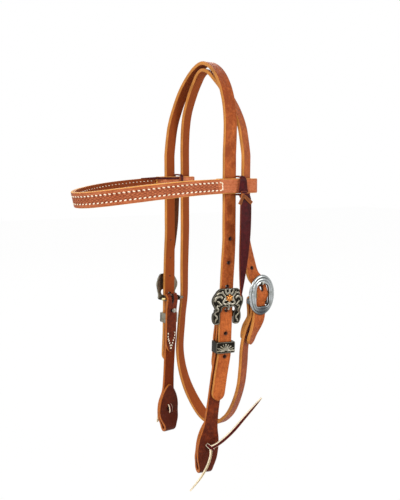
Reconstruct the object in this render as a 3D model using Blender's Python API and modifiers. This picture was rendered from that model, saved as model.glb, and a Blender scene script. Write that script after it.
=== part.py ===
# Western headstall: crown strap, separate throatlatch strap, tooled browband held by laces,
# two cheek straps with heel-bar buckles and keepers, and an oval throat buckle.
# Lengths are metres. +Z is up, the nose is towards -X and the near (left) side towards -Y.
# The origin is the underside of the crown strap where it lies on the poll.

import math

import bmesh
import bpy
import numpy as np
from mathutils import Matrix, Vector

MM = 0.001
FIT = 0.3 * MM              # between pieces that touch
PLAY = 0.5 * MM             # round a strap that has to slide through something
MERGE = 0.001 * MM          # points nearer than this are one point
HAIR = 0.02 * MM
SHORT = 1.0 * MM            # a short run that holds a line straight
STEP = 0.5 * MM             # spacing of the points that stand for a smooth line
BEND = 0.24                 # radians between two edges across a strap
LONGEST = 34.0 * MM         # and the longest run without one

# Leather
STRAP_WIDTH = 16.0 * MM
CROWN_THICKNESS = 4.5 * MM
THROAT_THICKNESS = 4.2 * MM
CHEEK_THICKNESS = 4.0 * MM
STRAP_EDGE = 0.8 * MM       # rounded edge of every strap
HOLE_DIAMETER = 4.6 * MM
NEAR_HOLE_PITCH = 27.6 * MM
OFF_HOLE_PITCH = 24.0 * MM
HOLES_ABOVE = 3             # holes left over above the buckle, and below it
HOLES_BELOW = 2
BILLET_TAIL = 105.5 * MM    # from the buckle's bar down to the rounded tip
OFF_TAIL_SHARE = 0.84       # the off tail's length as a share of it
BILLET_TIP = 9.0 * MM

# The arch of the crown over the poll
ARCH_HALF_WIDTH = 71.5 * MM
ARCH_HEIGHT = 99.0 * MM
CROWN_NARROW = 1.15         # 1 is an elliptical arch, and more draws its shoulders in
THROAT_NARROW = 1.7
ARCH_GAP = 1.2 * MM         # between the crown strap and the throatlatch under it
NEAR_CROWN_SET = -10.8 * MM # how far the crown strap hangs in front of the poll
OFF_CROWN_SET = -12.8 * MM
THROAT_SET = 13.0 * MM      # and the throatlatch behind it, on the near side
OFF_THROAT_SET = 9.0 * MM
NEAR_CROWN_TURN = math.radians(5)
OFF_CROWN_TURN = math.radians(20)
THROAT_TURN = math.radians(28)
THROAT_SPREAD = 69.5 * MM   # half the width of the throatlatch below the arch

# Cheeks: the frames of both buckles, at the bar
NEAR_BAR_DROP = 290.6 * MM
OFF_BAR_DROP = 294.9 * MM
NEAR_BAR_SET = -15.0 * MM
OFF_BAR_SET = -15.3 * MM
NEAR_CHEEK_TURN = math.radians(-6)
OFF_CHEEK_TURN = math.radians(8)
NEAR_CHEEK_LEAN = math.radians(2)
OFF_CHEEK_LEAN = math.radians(-1.5)

# Cheek strap, measured down from the bar
CHEEK_LENGTH = 193.4 * MM   # to the bottom of the bit fold
CHAPE_LENGTH = 72.0 * MM    # the short end inside, sewn and riveted
CHAPE_TIP = 15.0 * MM
CHAPE_OPEN = 47.5 * MM      # the chape is sewn down below this
BIT_END_WIDTH = 27.0 * MM
BIT_FOLD_WIDTH = 17.5 * MM
OFF_CHEEK_SHARE = 0.933     # the off strap's drop to the bit, as a share of the near one's
BIT_FLARE_SHARE = 0.62      # shares of its drop where the flare, the tab and the lace are
TAB_TOP_SHARE = 0.65
LACE_SHARE = 0.83
BIT_FOLD_BORE = 9.5 * MM    # room for the bit's ring
SWAY_FROM = 47.5 * MM       # below this the cheek sways forward
NEAR_SWAY = 15.0 * MM
OFF_SWAY = 0.5 * MM
SWAY_EASE = 0.35
LACE_HOLE = 5.0 * MM
BILLET_LIFT = 1.2 * MM      # between the billet and the cheek strap under it

# Heel bars and tongues, alike in all three buckles
BAR_RADIUS = 1.6 * MM
TONGUE_RADIUS = 1.1 * MM
TONGUE_SLOT = 4.0 * MM
TONGUE_FOLD_SLOT = 22.0 * MM
TONGUE_HOLE_UP = 5.0 * MM   # a cheek's buckled hole above the bar
THROAT_HOLE_UP = 19.0 * MM
TONGUE_BEND = 0.5 * MM
TONGUE_REACH = 3.0 * MM     # its tip beyond the edge that it rests on

# Scalloped cheek buckle
PLATE_WIDTH = 34.0 * MM
PLATE_TOP = 31.5 * MM
PLATE_LOWER_EDGE = 10.2 * MM
PLATE_LOBE_DROP = 11.5 * MM
PLATE_SINK = 1.2 * MM       # how far its legs bend in beside the strap
PLATE_THICKNESS = 2.2 * MM
PLATE_DOME = 1.6 * MM
PLATE_EDGE = 0.6 * MM
LEG_WIDTH = 4.2 * MM
BEAD_DIAMETER = 6.4 * MM
BEAD_HEIGHT = 2.2 * MM
BEAD_UP = 20.2 * MM

# Metal keeper
KEEPER_HEIGHT = 13.0 * MM
KEEPER_WALL = 2.6 * MM
KEEPER_FRONT = 3.2 * MM
KEEPER_BACK = 1.0 * MM      # it lies between the cheek strap and its chape
KEEPER_DROP = 38.8 * MM
OFF_KEEPER_DROP = 26.9 * MM

# Chape rivet
RIVET_DROP = 16.0 * MM
RIVET_POST = 1.5 * MM
RIVET_HEAD = 3.2 * MM
RIVET_HEAD_HEIGHT = 1.4 * MM
RIVET_CAP = 0.6 * MM

# Bit laces
LACE_WIDTH = 4.6 * MM
LACE_THICKNESS = 2.0 * MM
NEAR_LACE_UP = Vector((57.0 * MM, 16.0 * MM, 60.0 * MM))     # from the knot: back, out, up
NEAR_LACE_DOWN = Vector((-31.0 * MM, 14.0 * MM, -42.0 * MM))
OFF_LACE_UP = Vector((7.0 * MM, 9.0 * MM, -24.0 * MM))
OFF_LACE_DOWN = Vector((-5.0 * MM, 6.0 * MM, -23.0 * MM))

# Oval throat buckle
RING_HEIGHT = 48.4 * MM
RING_WIDTH = 37.5 * MM
RING_OPENING_WIDTH = 20.0 * MM
RING_OPENING_HEIGHT = 27.0 * MM
RING_THICKNESS = 2.0 * MM
RING_STEP = 1.2 * MM
RING_STEP_IN = 3.0 * MM
RING_UP = 8.6 * MM          # the ring's middle above its bar
RING_DROP = 280.5 * MM
RING_SET = 31.0 * MM
RING_SPREAD = 73.5 * MM
RING_TURN = math.radians(3)
THROAT_TAIL = 49.5 * MM
THROAT_CHAPE = 44.5 * MM
THROAT_BOTTOM = 448.0 * MM  # how deep the throatlatch hangs
LEG_SWAY = 15.5 * MM
LEG_SWAY_SHARES = ((0, 0), (0.3, 0.0), (0.45, 0.3), (0.65, 0.72), (0.9, 0.97), (1.1, 1.0))
LEG_SWAY_LENGTH = 55.0 * MM
TAIL_SPRING = 2.2 * MM      # how far the billet's tail stands off the leg
TAIL_SHARES = ((1, 0.3), (0.8, 0.8), (0.62, 1), (0.46, 0.7), (0.3, 0))

# Browband
BAND_HEIGHT = 18.0 * MM
BAND_THICKNESS = 3.0 * MM
LINING_THICKNESS = 2.2 * MM
BAND_EDGE = 1.0 * MM
BAND_DROP = 142.5 * MM      # its middle at the loops
BAND_SAG = 15.5 * MM
BAND_SAG_POWER = 2.2        # of the near arm's droop
OFF_BAND_SAG_POWER = 1.5
BAND_REACH = 168.0 * MM     # its front middle ahead of the poll
BAND_ROLL = math.radians(12)
LOOP_BACK = 5.6 * MM        # centre of the rear fold behind the throatlatch's middle
SEAM_SET = -30.0 * MM       # where the loop's end meets the lining

# Browband laces
TIE_WIDTH = 6.4 * MM
TIE_THICKNESS = 2.0 * MM
TIE_SET = 1.1 * MM
OFF_TIE_SET = -1.5 * MM
OFF_TIE_WIDTH = 4.2 * MM
TIE_TAIL_LEAN = -9.0 * MM   # how far forward the tip hangs
TIE_FLARE = 12.5 * MM
TIE_TAIL_LENGTH = 112.0 * MM
OFF_TIE_TAIL_LENGTH = 80.0 * MM

X, Y, Z = Vector((1, 0, 0)), Vector((0, 1, 0)), Vector((0, 0, 1))


# Scene, materials and plain shapes


def clear_scene():
    for old in list(bpy.data.objects):
        bpy.data.objects.remove(old)


def new_collection(name):
    group = bpy.data.collections.new(name)
    bpy.context.scene.collection.children.link(group)
    return group


def material(name, colour, roughness, metallic=0.0):
    made = bpy.data.materials.new(name)
    made.use_nodes = True
    shader = made.node_tree.nodes["Principled BSDF"]
    shader.inputs["Base Color"].default_value = (*colour, 1)
    shader.inputs["Roughness"].default_value = roughness
    shader.inputs["Metallic"].default_value = metallic
    return made


def node(name, mesh, finish, pivot=Vector((0, 0, 0))):
    """One named piece; its origin is put on the joint that it turns or slides on."""
    mesh.transform(Matrix.Translation(-pivot))
    mesh.materials.append(finish)
    mesh.shade_smooth()
    mesh.set_sharp_from_angle(angle=math.radians(35))
    made = bpy.data.objects.new(name, mesh)
    made.location = pivot
    PARTS.objects.link(made)
    return made


def evaluated_mesh(made):
    bpy.context.view_layer.update()
    graph = bpy.context.evaluated_depsgraph_get()
    mesh = bpy.data.meshes.new_from_object(made.evaluated_get(graph))
    mesh.transform(made.matrix_world)
    data = made.data
    bpy.data.objects.remove(made)
    if isinstance(data, bpy.types.Curve):
        bpy.data.curves.remove(data)
    work = bmesh.new()
    work.from_mesh(mesh)
    bmesh.ops.remove_doubles(work, verts=work.verts, dist=MERGE)
    work.to_mesh(mesh)
    work.free()
    return mesh


def blank(outlines, thickness, edge):
    """A flat piece cut from a sheet, in the XY plane, with its edges rounded."""
    curve = bpy.data.curves.new("blank", "CURVE")
    curve.dimensions = "2D"
    curve.fill_mode = "BOTH"
    curve.extrude = thickness / 2 - edge
    curve.bevel_depth = edge
    curve.bevel_resolution = 0
    curve.offset = -edge
    for points in outlines:
        spline = curve.splines.new("POLY")
        spline.points.add(len(points) - 1)
        for point, (across, along) in zip(spline.points, points):
            point.co = (across, along, 0, 1)
        spline.use_cyclic_u = True
    made = bpy.data.objects.new("blank", curve)
    CUTTERS.objects.link(made)
    return evaluated_mesh(made)


def circle(across, along, diameter, sides=8):
    turns = (2 * math.pi * i / sides for i in range(sides))
    return [(across + diameter / 2 * math.cos(a), along + diameter / 2 * math.sin(a)) for a in turns]


def slot(along, length, width, sides=8):
    """A round-ended slot that runs along a strap."""
    reach = length / 2 - width / 2
    ends = []
    for end, start in ((reach, 0.0), (-reach, math.pi)):
        for i in range(sides // 2 + 1):
            a = start + math.pi * i / (sides // 2)
            ends.append((width / 2 * math.cos(a), along + end + width / 2 * math.sin(a)))
    return ends


def both_edges(stations):
    """A closed outline from (along, half width) stations, mirrored across the middle line."""
    right = [(half, along) for along, half in stations]
    left = [(-half, along) for along, half in reversed(stations) if half > HAIR]
    return right + left


def round_tip(length, half_width, points=5):
    """Stations of a rounded tip that starts at the strap's very end."""
    angles = [math.pi / 2 * i / points for i in range(points + 1)]
    return [(length * (1 - math.cos(a)), half_width * math.sin(a)) for a in angles]


def tube(points, radius, sides=1):
    curve = bpy.data.curves.new("tube", "CURVE")
    curve.dimensions = "3D"
    curve.bevel_depth = radius
    curve.bevel_resolution = sides
    curve.use_fill_caps = True
    spline = curve.splines.new("POLY")
    spline.points.add(len(points) - 1)
    for point, place in zip(spline.points, points):
        point.co = (*place, 1)
    made = bpy.data.objects.new("tube", curve)
    CUTTERS.objects.link(made)
    return evaluated_mesh(made)


def cylinder(radius, length, axis, middle, sides=12):
    work = bmesh.new()
    bmesh.ops.create_cone(
        work, cap_ends=True, segments=sides, radius1=radius, radius2=radius, depth=length
    )
    mesh = bpy.data.meshes.new("cylinder")
    work.to_mesh(mesh)
    work.free()
    mesh.transform(Matrix.Translation(middle) @ Z.rotation_difference(axis).to_matrix().to_4x4())
    return mesh


def torus(ring_radius, wire_radius, axis, middle):
    bpy.ops.mesh.primitive_torus_add(
        major_radius=ring_radius, minor_radius=wire_radius, major_segments=12, minor_segments=6
    )
    made = bpy.context.object
    for owner in list(made.users_collection):
        owner.objects.unlink(made)
    CUTTERS.objects.link(made)
    mesh = evaluated_mesh(made)
    mesh.transform(Matrix.Translation(middle) @ Z.rotation_difference(axis).to_matrix().to_4x4())
    return mesh


def turned(profile, axis, middle, sides=10):
    """A profile of (radius, height) from its top down its outer side, turned round an axis."""
    work = bmesh.new()
    line = [work.verts.new((radius, 0, height)) for radius, height in profile]
    for first, second in zip(line, line[1:]):
        work.edges.new((first, second))
    mesh = bpy.data.meshes.new("profile")
    work.to_mesh(mesh)
    work.free()
    made = bpy.data.objects.new("profile", mesh)
    CUTTERS.objects.link(made)
    screw = made.modifiers.new("turn", "SCREW")
    screw.steps = screw.render_steps = sides
    screw.use_merge_vertices = True
    screw.merge_threshold = MERGE * 10
    solid = evaluated_mesh(made)
    solid.transform(Matrix.Translation(middle) @ Z.rotation_difference(axis).to_matrix().to_4x4())
    return solid


def joined(first, *others, cut=False):
    """The Boolean union of closed meshes, or the first less the others."""
    made = bpy.data.objects.new("joined", first)
    CUTTERS.objects.link(made)
    helpers = []
    for other in others:
        helper = bpy.data.objects.new("helper", other)
        CUTTERS.objects.link(helper)
        helpers.append(helper)
        step = made.modifiers.new("step", "BOOLEAN")
        step.operation = "DIFFERENCE" if cut else "UNION"
        step.solver = "EXACT"
        step.object = helper
    mesh = evaluated_mesh(made)
    for helper in helpers:
        bpy.data.objects.remove(helper)
    return mesh


def mapped(mesh, place):
    """Moves every point of a mesh by a function of (across, along, out)."""
    for vertex in mesh.vertices:
        vertex.co = place(*vertex.co)
    return mesh


def cross_cut(mesh, axis, places, tidy=False):
    """Edges across a flat piece, so that it can bend there. A tidy cut drops the edges between."""
    work = bmesh.new()
    work.from_mesh(mesh)
    for place in places:
        everything = work.verts[:] + work.edges[:] + work.faces[:]
        bmesh.ops.bisect_plane(
            work, geom=everything, dist=HAIR, plane_co=axis * place, plane_no=axis
        )
    if tidy:
        spare = []
        for edge in work.edges:
            flat = all(abs(side.normal.z) > 0.99 for side in edge.link_faces)
            first, second = (vertex.co.dot(axis) for vertex in edge.verts)
            if flat and abs(first - second) > HAIR:
                spare.append(edge)
            elif flat and min(abs(first - place) for place in places) > HAIR:
                spare.append(edge)
        bmesh.ops.dissolve_edges(work, edges=spare, use_verts=True)
    work.to_mesh(mesh)
    work.free()
    return mesh


# Routes that the straps follow


def through(points, step=STEP):
    """Points of a smooth curve through the given ones, in any number of dimensions."""
    p = np.array([list(point) for point in points], float)
    p = np.vstack([2 * p[0] - p[1], p, 2 * p[-1] - p[-2]])
    out = []
    for a, b, c, d in zip(p, p[1:], p[2:], p[3:]):
        gaps = [max(np.linalg.norm((v - u)[:3]) ** 0.5, STEP) for u, v in ((a, b), (b, c), (c, d))]
        one = (b - a) / gaps[0] - (c - a) / (gaps[0] + gaps[1]) + (c - b) / gaps[1]
        two = (c - b) / gaps[1] - (d - b) / (gaps[1] + gaps[2]) + (d - c) / gaps[2]
        one, two = one * gaps[1], two * gaps[1]
        count = max(2, int(np.linalg.norm((c - b)[:3]) / step))
        for t in np.linspace(0, 1, count, endpoint=False):
            out.append(
                (2 * t**3 - 3 * t**2 + 1) * b
                + (t**3 - 2 * t**2 + t) * one
                + (3 * t**2 - 2 * t**3) * c
                + (t**3 - t**2) * two
            )
    out.append(p[-2])
    return np.array(out)


class Route:
    """A line with the direction of the strap's width at each point."""

    def __init__(self, points):
        dense = through([list(place) + list(side) for place, side in points])
        self.places, sides = dense[:, :3], dense[:, 3:]
        gaps = np.linalg.norm(np.diff(self.places, axis=0), axis=1)
        self.along = np.concatenate([[0], np.cumsum(gaps)])
        self.tangents = np.gradient(self.places, self.along, axis=0)
        self.tangents /= np.linalg.norm(self.tangents, axis=1)[:, None]
        sides = sides - (sides * self.tangents).sum(axis=1)[:, None] * self.tangents
        self.sides = sides / np.linalg.norm(sides, axis=1)[:, None]
        self.normals = np.cross(self.sides, self.tangents)
        self.length = self.along[-1]

    def at(self, along, table):
        return np.array([np.interp(along, self.along, table[:, i]) for i in range(3)])

    def place(self, across, along, out):
        spot = self.at(along, self.places)
        return Vector(spot + self.at(along, self.sides) * across + self.at(along, self.normals) * out)

    def nearest(self, spot):
        return self.along[np.argmin(np.linalg.norm(self.places - np.array(spot), axis=1))]

    def stations(self, turn, longest):
        """Where the strap has turned or run far enough to need an edge across it."""
        places, last = [], 0.0
        normal, tangent = self.normals[0], self.tangents[0]
        for along in np.arange(0, self.length, STEP):
            now_normal, now_tangent = self.at(along, self.normals), self.at(along, self.tangents)
            bend = max(np.linalg.norm(now_normal - normal), np.linalg.norm(now_tangent - tangent))
            if bend > turn or along - last > longest:
                places.append(along)
                last, normal, tangent = along, now_normal, now_tangent
        return places


def strap(outlines, thickness, edge, route, start=0.0, out=0.0, turn=BEND, also=()):
    """A flat blank laid along a route, from the given place of the route on."""
    mesh = blank(outlines, thickness, edge)
    length = max(vertex.co.y for vertex in mesh.vertices)
    stations = [p for p in route.stations(turn, LONGEST) if start < p < start + length]
    places = [p - start for p in stations if all(abs(p - q) > SHORT for q in also)]
    places += [p - start for p in also]
    for hole in outlines[1:]:
        lows, highs = min(along for _, along in hole), max(along for _, along in hole)
        places = [p for p in places if not lows - STEP < p < highs + STEP or highs - lows > LONGEST / 2]
        places.append((lows + highs) / 2)
    cross_cut(mesh, Y, sorted(places), tidy=True)
    return mapped(mesh, lambda a, b, c: route.place(a, b + start, c + out))


def side_frame(x, y, z, turn, lean=0.0):
    """Local axes on one side of the head: x along the width, -y outwards, z up the strap."""
    return (
        Matrix.Translation((x, y, z)) @ Matrix.Rotation(turn, 4, "Z") @ Matrix.Rotation(lean, 4, "Y")
    )


def face(across, along, out):
    """From a blank's own axes to those of a side frame, with the blank's top face outwards."""
    return Vector((across, -out, along))


clear_scene()
PARTS = new_collection("western_headstall")
CUTTERS = new_collection("cutters")

RUSSET = material("russet harness leather", (0.42, 0.16, 0.06), 0.5)
TAN = material("tan bridle leather", (0.50, 0.21, 0.08), 0.5)
OILED = material("oiled brown leather", (0.16, 0.05, 0.025), 0.45)
BURGUNDY = material("burgundy latigo", (0.09, 0.015, 0.018), 0.45)
SILVER = material("antiqued silver", (0.62, 0.60, 0.56), 0.32, 1.0)
STEEL = material("nickel plated steel", (0.55, 0.54, 0.52), 0.3, 1.0)
COPPER = material("copper", (0.72, 0.33, 0.16), 0.3, 1.0)

NEAR = side_frame(
    NEAR_BAR_SET, -ARCH_HALF_WIDTH, -NEAR_BAR_DROP, NEAR_CHEEK_TURN, NEAR_CHEEK_LEAN
)
OFF = side_frame(
    OFF_BAR_SET, ARCH_HALF_WIDTH, -OFF_BAR_DROP, math.pi + OFF_CHEEK_TURN, OFF_CHEEK_LEAN
)
THROAT = side_frame(RING_SET, -RING_SPREAD, -RING_DROP, RING_TURN)


# Depths of the layers in a side frame: the billet's middle is at y = 0

CHEEK_OUTER = CROWN_THICKNESS / 2 + BILLET_LIFT + CHEEK_THICKNESS / 2
CHEEK_BAR = CHEEK_OUTER + CHEEK_THICKNESS / 2 + FIT + BAR_RADIUS
CHEEK_INNER = CHEEK_BAR + BAR_RADIUS + FIT + CHEEK_THICKNESS / 2
CHEEK_SEWN = CHEEK_OUTER + CHEEK_THICKNESS + FIT
CHEEK_OPEN = CHEEK_OUTER + CHEEK_THICKNESS + KEEPER_BACK + 2 * FIT
THROAT_OUTER = THROAT_THICKNESS / 2 + BILLET_LIFT + THROAT_THICKNESS / 2
THROAT_BAR = THROAT_OUTER + THROAT_THICKNESS / 2 + FIT + BAR_RADIUS
THROAT_INNER = THROAT_BAR + BAR_RADIUS + FIT + THROAT_THICKNESS / 2
THROAT_SEWN = THROAT_OUTER + THROAT_THICKNESS + FIT


def bar_fold(bar_depth, radius, steps=6):
    """(depth, height) points of the half turn over a heel bar, from the inside to the outside."""
    turns = (math.pi * i / steps for i in range(steps + 1))
    return [(bar_depth + radius * math.cos(a), radius * math.sin(a)) for a in turns]


# Crown strap


def turned_side(turn):
    return Vector((math.cos(turn), math.sin(turn), 0))


def near_sway(height):
    """How far the near cheek has swayed forward at a height of its frame."""
    share = max(0.0, (-height - SWAY_FROM) / (CHEEK_LENGTH - SWAY_FROM))
    return -NEAR_SWAY * (share + SWAY_EASE * share * (1 - share))


def off_sway(height):
    share = max(0.0, (-height - SWAY_FROM) / (CHEEK_LENGTH - SWAY_FROM))
    return OFF_SWAY * share


def arch_point(i, steps, inset, set_near, set_off, set_power, narrow):
    """A point of a strap's arch over the poll, from the near side at 0 to the off side."""
    a = math.pi * i / steps
    fall = 1 - math.sin(a)
    set_here = set_near if i * 2 < steps else set_off
    across = math.copysign(abs(math.cos(a)) ** narrow, math.cos(a))
    return Vector(
        (
            set_here * fall**set_power,
            -(ARCH_HALF_WIDTH - inset) * across,
            CROWN_THICKNESS / 2 - inset - ARCH_HEIGHT * fall,
        )
    )


STRAIGHT_TOP = ARCH_HEIGHT + BAND_HEIGHT / 2
STRAIGHT_END = NEAR_BAR_DROP * 2 / 3
ARCH_STEPS = 12


def crown_route():
    near_side, off_side = NEAR.to_3x3() @ X, -(OFF.to_3x3() @ X)
    near_turn, off_turn = turned_side(NEAR_CROWN_TURN), turned_side(OFF_CROWN_TURN)
    tail = BILLET_TAIL
    heights = [-tail, -tail * 0.7, -SWAY_FROM, -SWAY_FROM * 0.9, 0, PLATE_TOP]
    points = [(NEAR @ Vector((near_sway(z), 0, z)), near_side) for z in heights]
    tail *= OFF_TAIL_SHARE
    heights[:2] = [-tail, -tail * 0.7]
    for drop in (STRAIGHT_END + BAND_HEIGHT / 2, STRAIGHT_END, STRAIGHT_TOP + SHORT, STRAIGHT_TOP):
        points.append((Vector((NEAR_CROWN_SET, -ARCH_HALF_WIDTH, -drop)), near_turn))
    for i in range(1, ARCH_STEPS):
        place = arch_point(i, ARCH_STEPS, 0, NEAR_CROWN_SET, OFF_CROWN_SET, 1, CROWN_NARROW)
        points.append((place, near_turn.lerp(off_turn, i / ARCH_STEPS)))
    for drop in (STRAIGHT_TOP, STRAIGHT_TOP + SHORT, STRAIGHT_END, STRAIGHT_END + BAND_HEIGHT / 2):
        points.append((Vector((OFF_CROWN_SET, ARCH_HALF_WIDTH, -drop)), off_turn))
    points += [(OFF @ Vector((off_sway(z), 0, z)), off_side) for z in reversed(heights)]
    return Route(points)


def crown_strap(route):
    half = STRAP_WIDTH / 2
    tip = round_tip(BILLET_TIP, half)
    far_tip = [(route.length - along, width) for along, width in reversed(tip)]
    holes = []
    for bar, towards, pitch in (
        (route.nearest(NEAR @ Vector((0, 0, 0))), 1, NEAR_HOLE_PITCH),
        (route.nearest(OFF @ Vector((0, 0, 0))), -1, OFF_HOLE_PITCH),
    ):
        for i in range(-HOLES_BELOW, HOLES_ABOVE + 1):
            holes.append(circle(0, bar + towards * (TONGUE_HOLE_UP + i * pitch), HOLE_DIAMETER))
    return strap([both_edges(tip + far_tip), *holes], CROWN_THICKNESS, STRAP_EDGE, route)


# Throatlatch strap. The lower near leg sways forward from the buckle


def leg_place(drop_share, depth):
    """A point of the near leg below the buckle, and the direction of the strap's width there."""
    sway = np.interp(drop_share, *zip(*LEG_SWAY_SHARES))
    turn = RING_TURN + (THROAT_TURN - RING_TURN) * min(sway * 1.3, 1)
    middle = THROAT @ Vector((-LEG_SWAY * sway, 0, -LEG_SWAY_LENGTH * drop_share))
    side = turned_side(turn)
    return middle + side.cross(-Z) * depth, side


# Bottom loop of the throatlatch, from the near leg round to the off leg:
# shares of THROAT_SET, THROAT_SPREAD and THROAT_BOTTOM, and of the throat's turn
THROAT_LOOP_SHARES = (
    (1.05, -0.95, 0.80, 1.0),
    (1.10, -0.86, 0.86, 1.0),
    (1.10, -0.70, 0.915, 0.9),
    (1.05, -0.46, 0.965, 0.6),
    (0.85, -0.14, 0.998, 0.2),
    (0.60, 0.20, 0.995, 0.0),
    (0.30, 0.55, 0.957, 0.5),
    (0.00, 0.80, 0.90, 1.0),
    (0.00, 0.98, 0.83, 1.2),
    (0.48, 1.08, 0.735, 1.2),
    (0.81, 1.09, 0.66, 1.2),
    (0.74, 1.05, 0.56, 1.1),
)


def throat_route():
    """From the near billet's tip up and over the poll, down the off side and back to the chape."""
    side = turned_side(THROAT_TURN)
    buckle_side = THROAT.to_3x3() @ X
    tail = THROAT_TAIL / LEG_SWAY_LENGTH
    points = [leg_place(tail * share, -TAIL_SPRING * lift) for share, lift in TAIL_SHARES]
    points.append((THROAT @ Vector((0, 0, 0)), buckle_side))
    points.append((THROAT @ Vector((0, -RING_THICKNESS / 4, RING_UP)), buckle_side))
    points.append((THROAT @ Vector((0, FIT, RING_UP + RING_OPENING_HEIGHT / 2)), buckle_side))
    points.append((THROAT @ Vector((-RING_UP * 1.1, FIT, RING_UP + RING_HEIGHT / 2)), buckle_side))
    mid_turn = turned_side((THROAT_TURN + RING_TURN) / 2)
    low = NEAR_BAR_DROP * 0.79
    points.append((Vector((THROAT_SET * 1.37, -THROAT_SPREAD * 1.02, -low)), mid_turn))
    for drop in (STRAIGHT_END + BAND_HEIGHT / 2, STRAIGHT_END, STRAIGHT_TOP + SHORT, STRAIGHT_TOP):
        points.append((Vector((THROAT_SET, -THROAT_SPREAD, -drop)), side))
    under = CROWN_THICKNESS / 2 + ARCH_GAP + THROAT_THICKNESS / 2
    for i in range(1, ARCH_STEPS):
        place = arch_point(i, ARCH_STEPS, under, THROAT_SET, OFF_THROAT_SET, 2, THROAT_NARROW)
        points.append((place, side))
    for drop in (STRAIGHT_TOP, STRAIGHT_TOP + SHORT, STRAIGHT_END, STRAIGHT_END + BAND_HEIGHT / 2):
        points.append((Vector((OFF_THROAT_SET, THROAT_SPREAD, -drop)), side))
    for set_share, spread_share, drop_share, turn_share in reversed(THROAT_LOOP_SHARES):
        place = Vector(
            (
                THROAT_SET * set_share,
                THROAT_SPREAD * spread_share,
                -THROAT_BOTTOM * drop_share,
            )
        )
        points.append((place, turned_side(THROAT_TURN * turn_share)))
    points += [leg_place(share, THROAT_OUTER) for share in (0.9, 0.62, 0.35, 0.18)]
    over = [
        (THROAT @ Vector((0, depth, height)), buckle_side)
        for depth, height in bar_fold(THROAT_BAR, THROAT_INNER - THROAT_BAR)
    ]
    points += reversed(over)
    chape = THROAT_CHAPE / LEG_SWAY_LENGTH
    points += [leg_place(share, THROAT_SEWN) for share in (0.35, 0.55, chape)]
    return Route(points)


def throatlatch_strap(route):
    half = STRAP_WIDTH / 2
    tip = round_tip(BILLET_TIP, half)
    far_tip = [(route.length - along, width) for along, width in reversed(round_tip(CHAPE_TIP, half))]
    bar = route.nearest(THROAT @ Vector((0, 0, 0)))
    fold = route.nearest(THROAT @ Vector((0, THROAT_BAR, THROAT_INNER - THROAT_BAR)))
    hole = bar + THROAT_HOLE_UP
    holes = [circle(0, hole + i * NEAR_HOLE_PITCH, HOLE_DIAMETER) for i in (-1, 0, 1)]
    holes[1] = slot(hole - SHORT, HOLE_DIAMETER * 2, HOLE_DIAMETER)
    holes.append(slot(fold, TONGUE_FOLD_SLOT, TONGUE_SLOT))
    return strap([both_edges(tip + far_tip), *holes], THROAT_THICKNESS, STRAP_EDGE, route)


# Cheek straps


def cheek_route(frame, sway, share):
    """From the chape's tip inside, over the bar, down the outside, round the bit and up the tab."""
    side = -(frame.to_3x3() @ X)
    bore = (BIT_FOLD_BORE + CHEEK_THICKNESS) / 2
    fold_up = CHEEK_LENGTH * share - CHEEK_THICKNESS / 2 - bore
    lace = CHEEK_LENGTH * LACE_SHARE * share
    line = [(CHEEK_SEWN, -CHAPE_LENGTH * part) for part in (1, 0.88, 0.76)]
    line += [(CHEEK_OPEN, -CHAPE_OPEN * part) for part in (1, 0.9, 0.6, 0.4, 0.3)]
    line += bar_fold(CHEEK_BAR, CHEEK_INNER - CHEEK_BAR)
    line += [(CHEEK_OUTER, -CHAPE_LENGTH * part) for part in (0.25, 0.6, 0.68, 0.8, 1, 1.3)]
    line += [(CHEEK_OUTER, -lace * part) for part in (0.8, 1)]
    steps = 6
    for i in range(steps + 1):
        a = math.pi * i / steps
        line.append((CHEEK_OUTER + bore * (1 - math.cos(a)), -fold_up - bore * math.sin(a)))
    line += [(CHEEK_SEWN, -lace * part) for part in (1.035, 0.97, 0.9)]
    line.append((CHEEK_SEWN, -CHEEK_LENGTH * TAB_TOP_SHARE * share))
    return Route([(frame @ Vector((sway(height), depth, height)), side) for depth, height in line])


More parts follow.
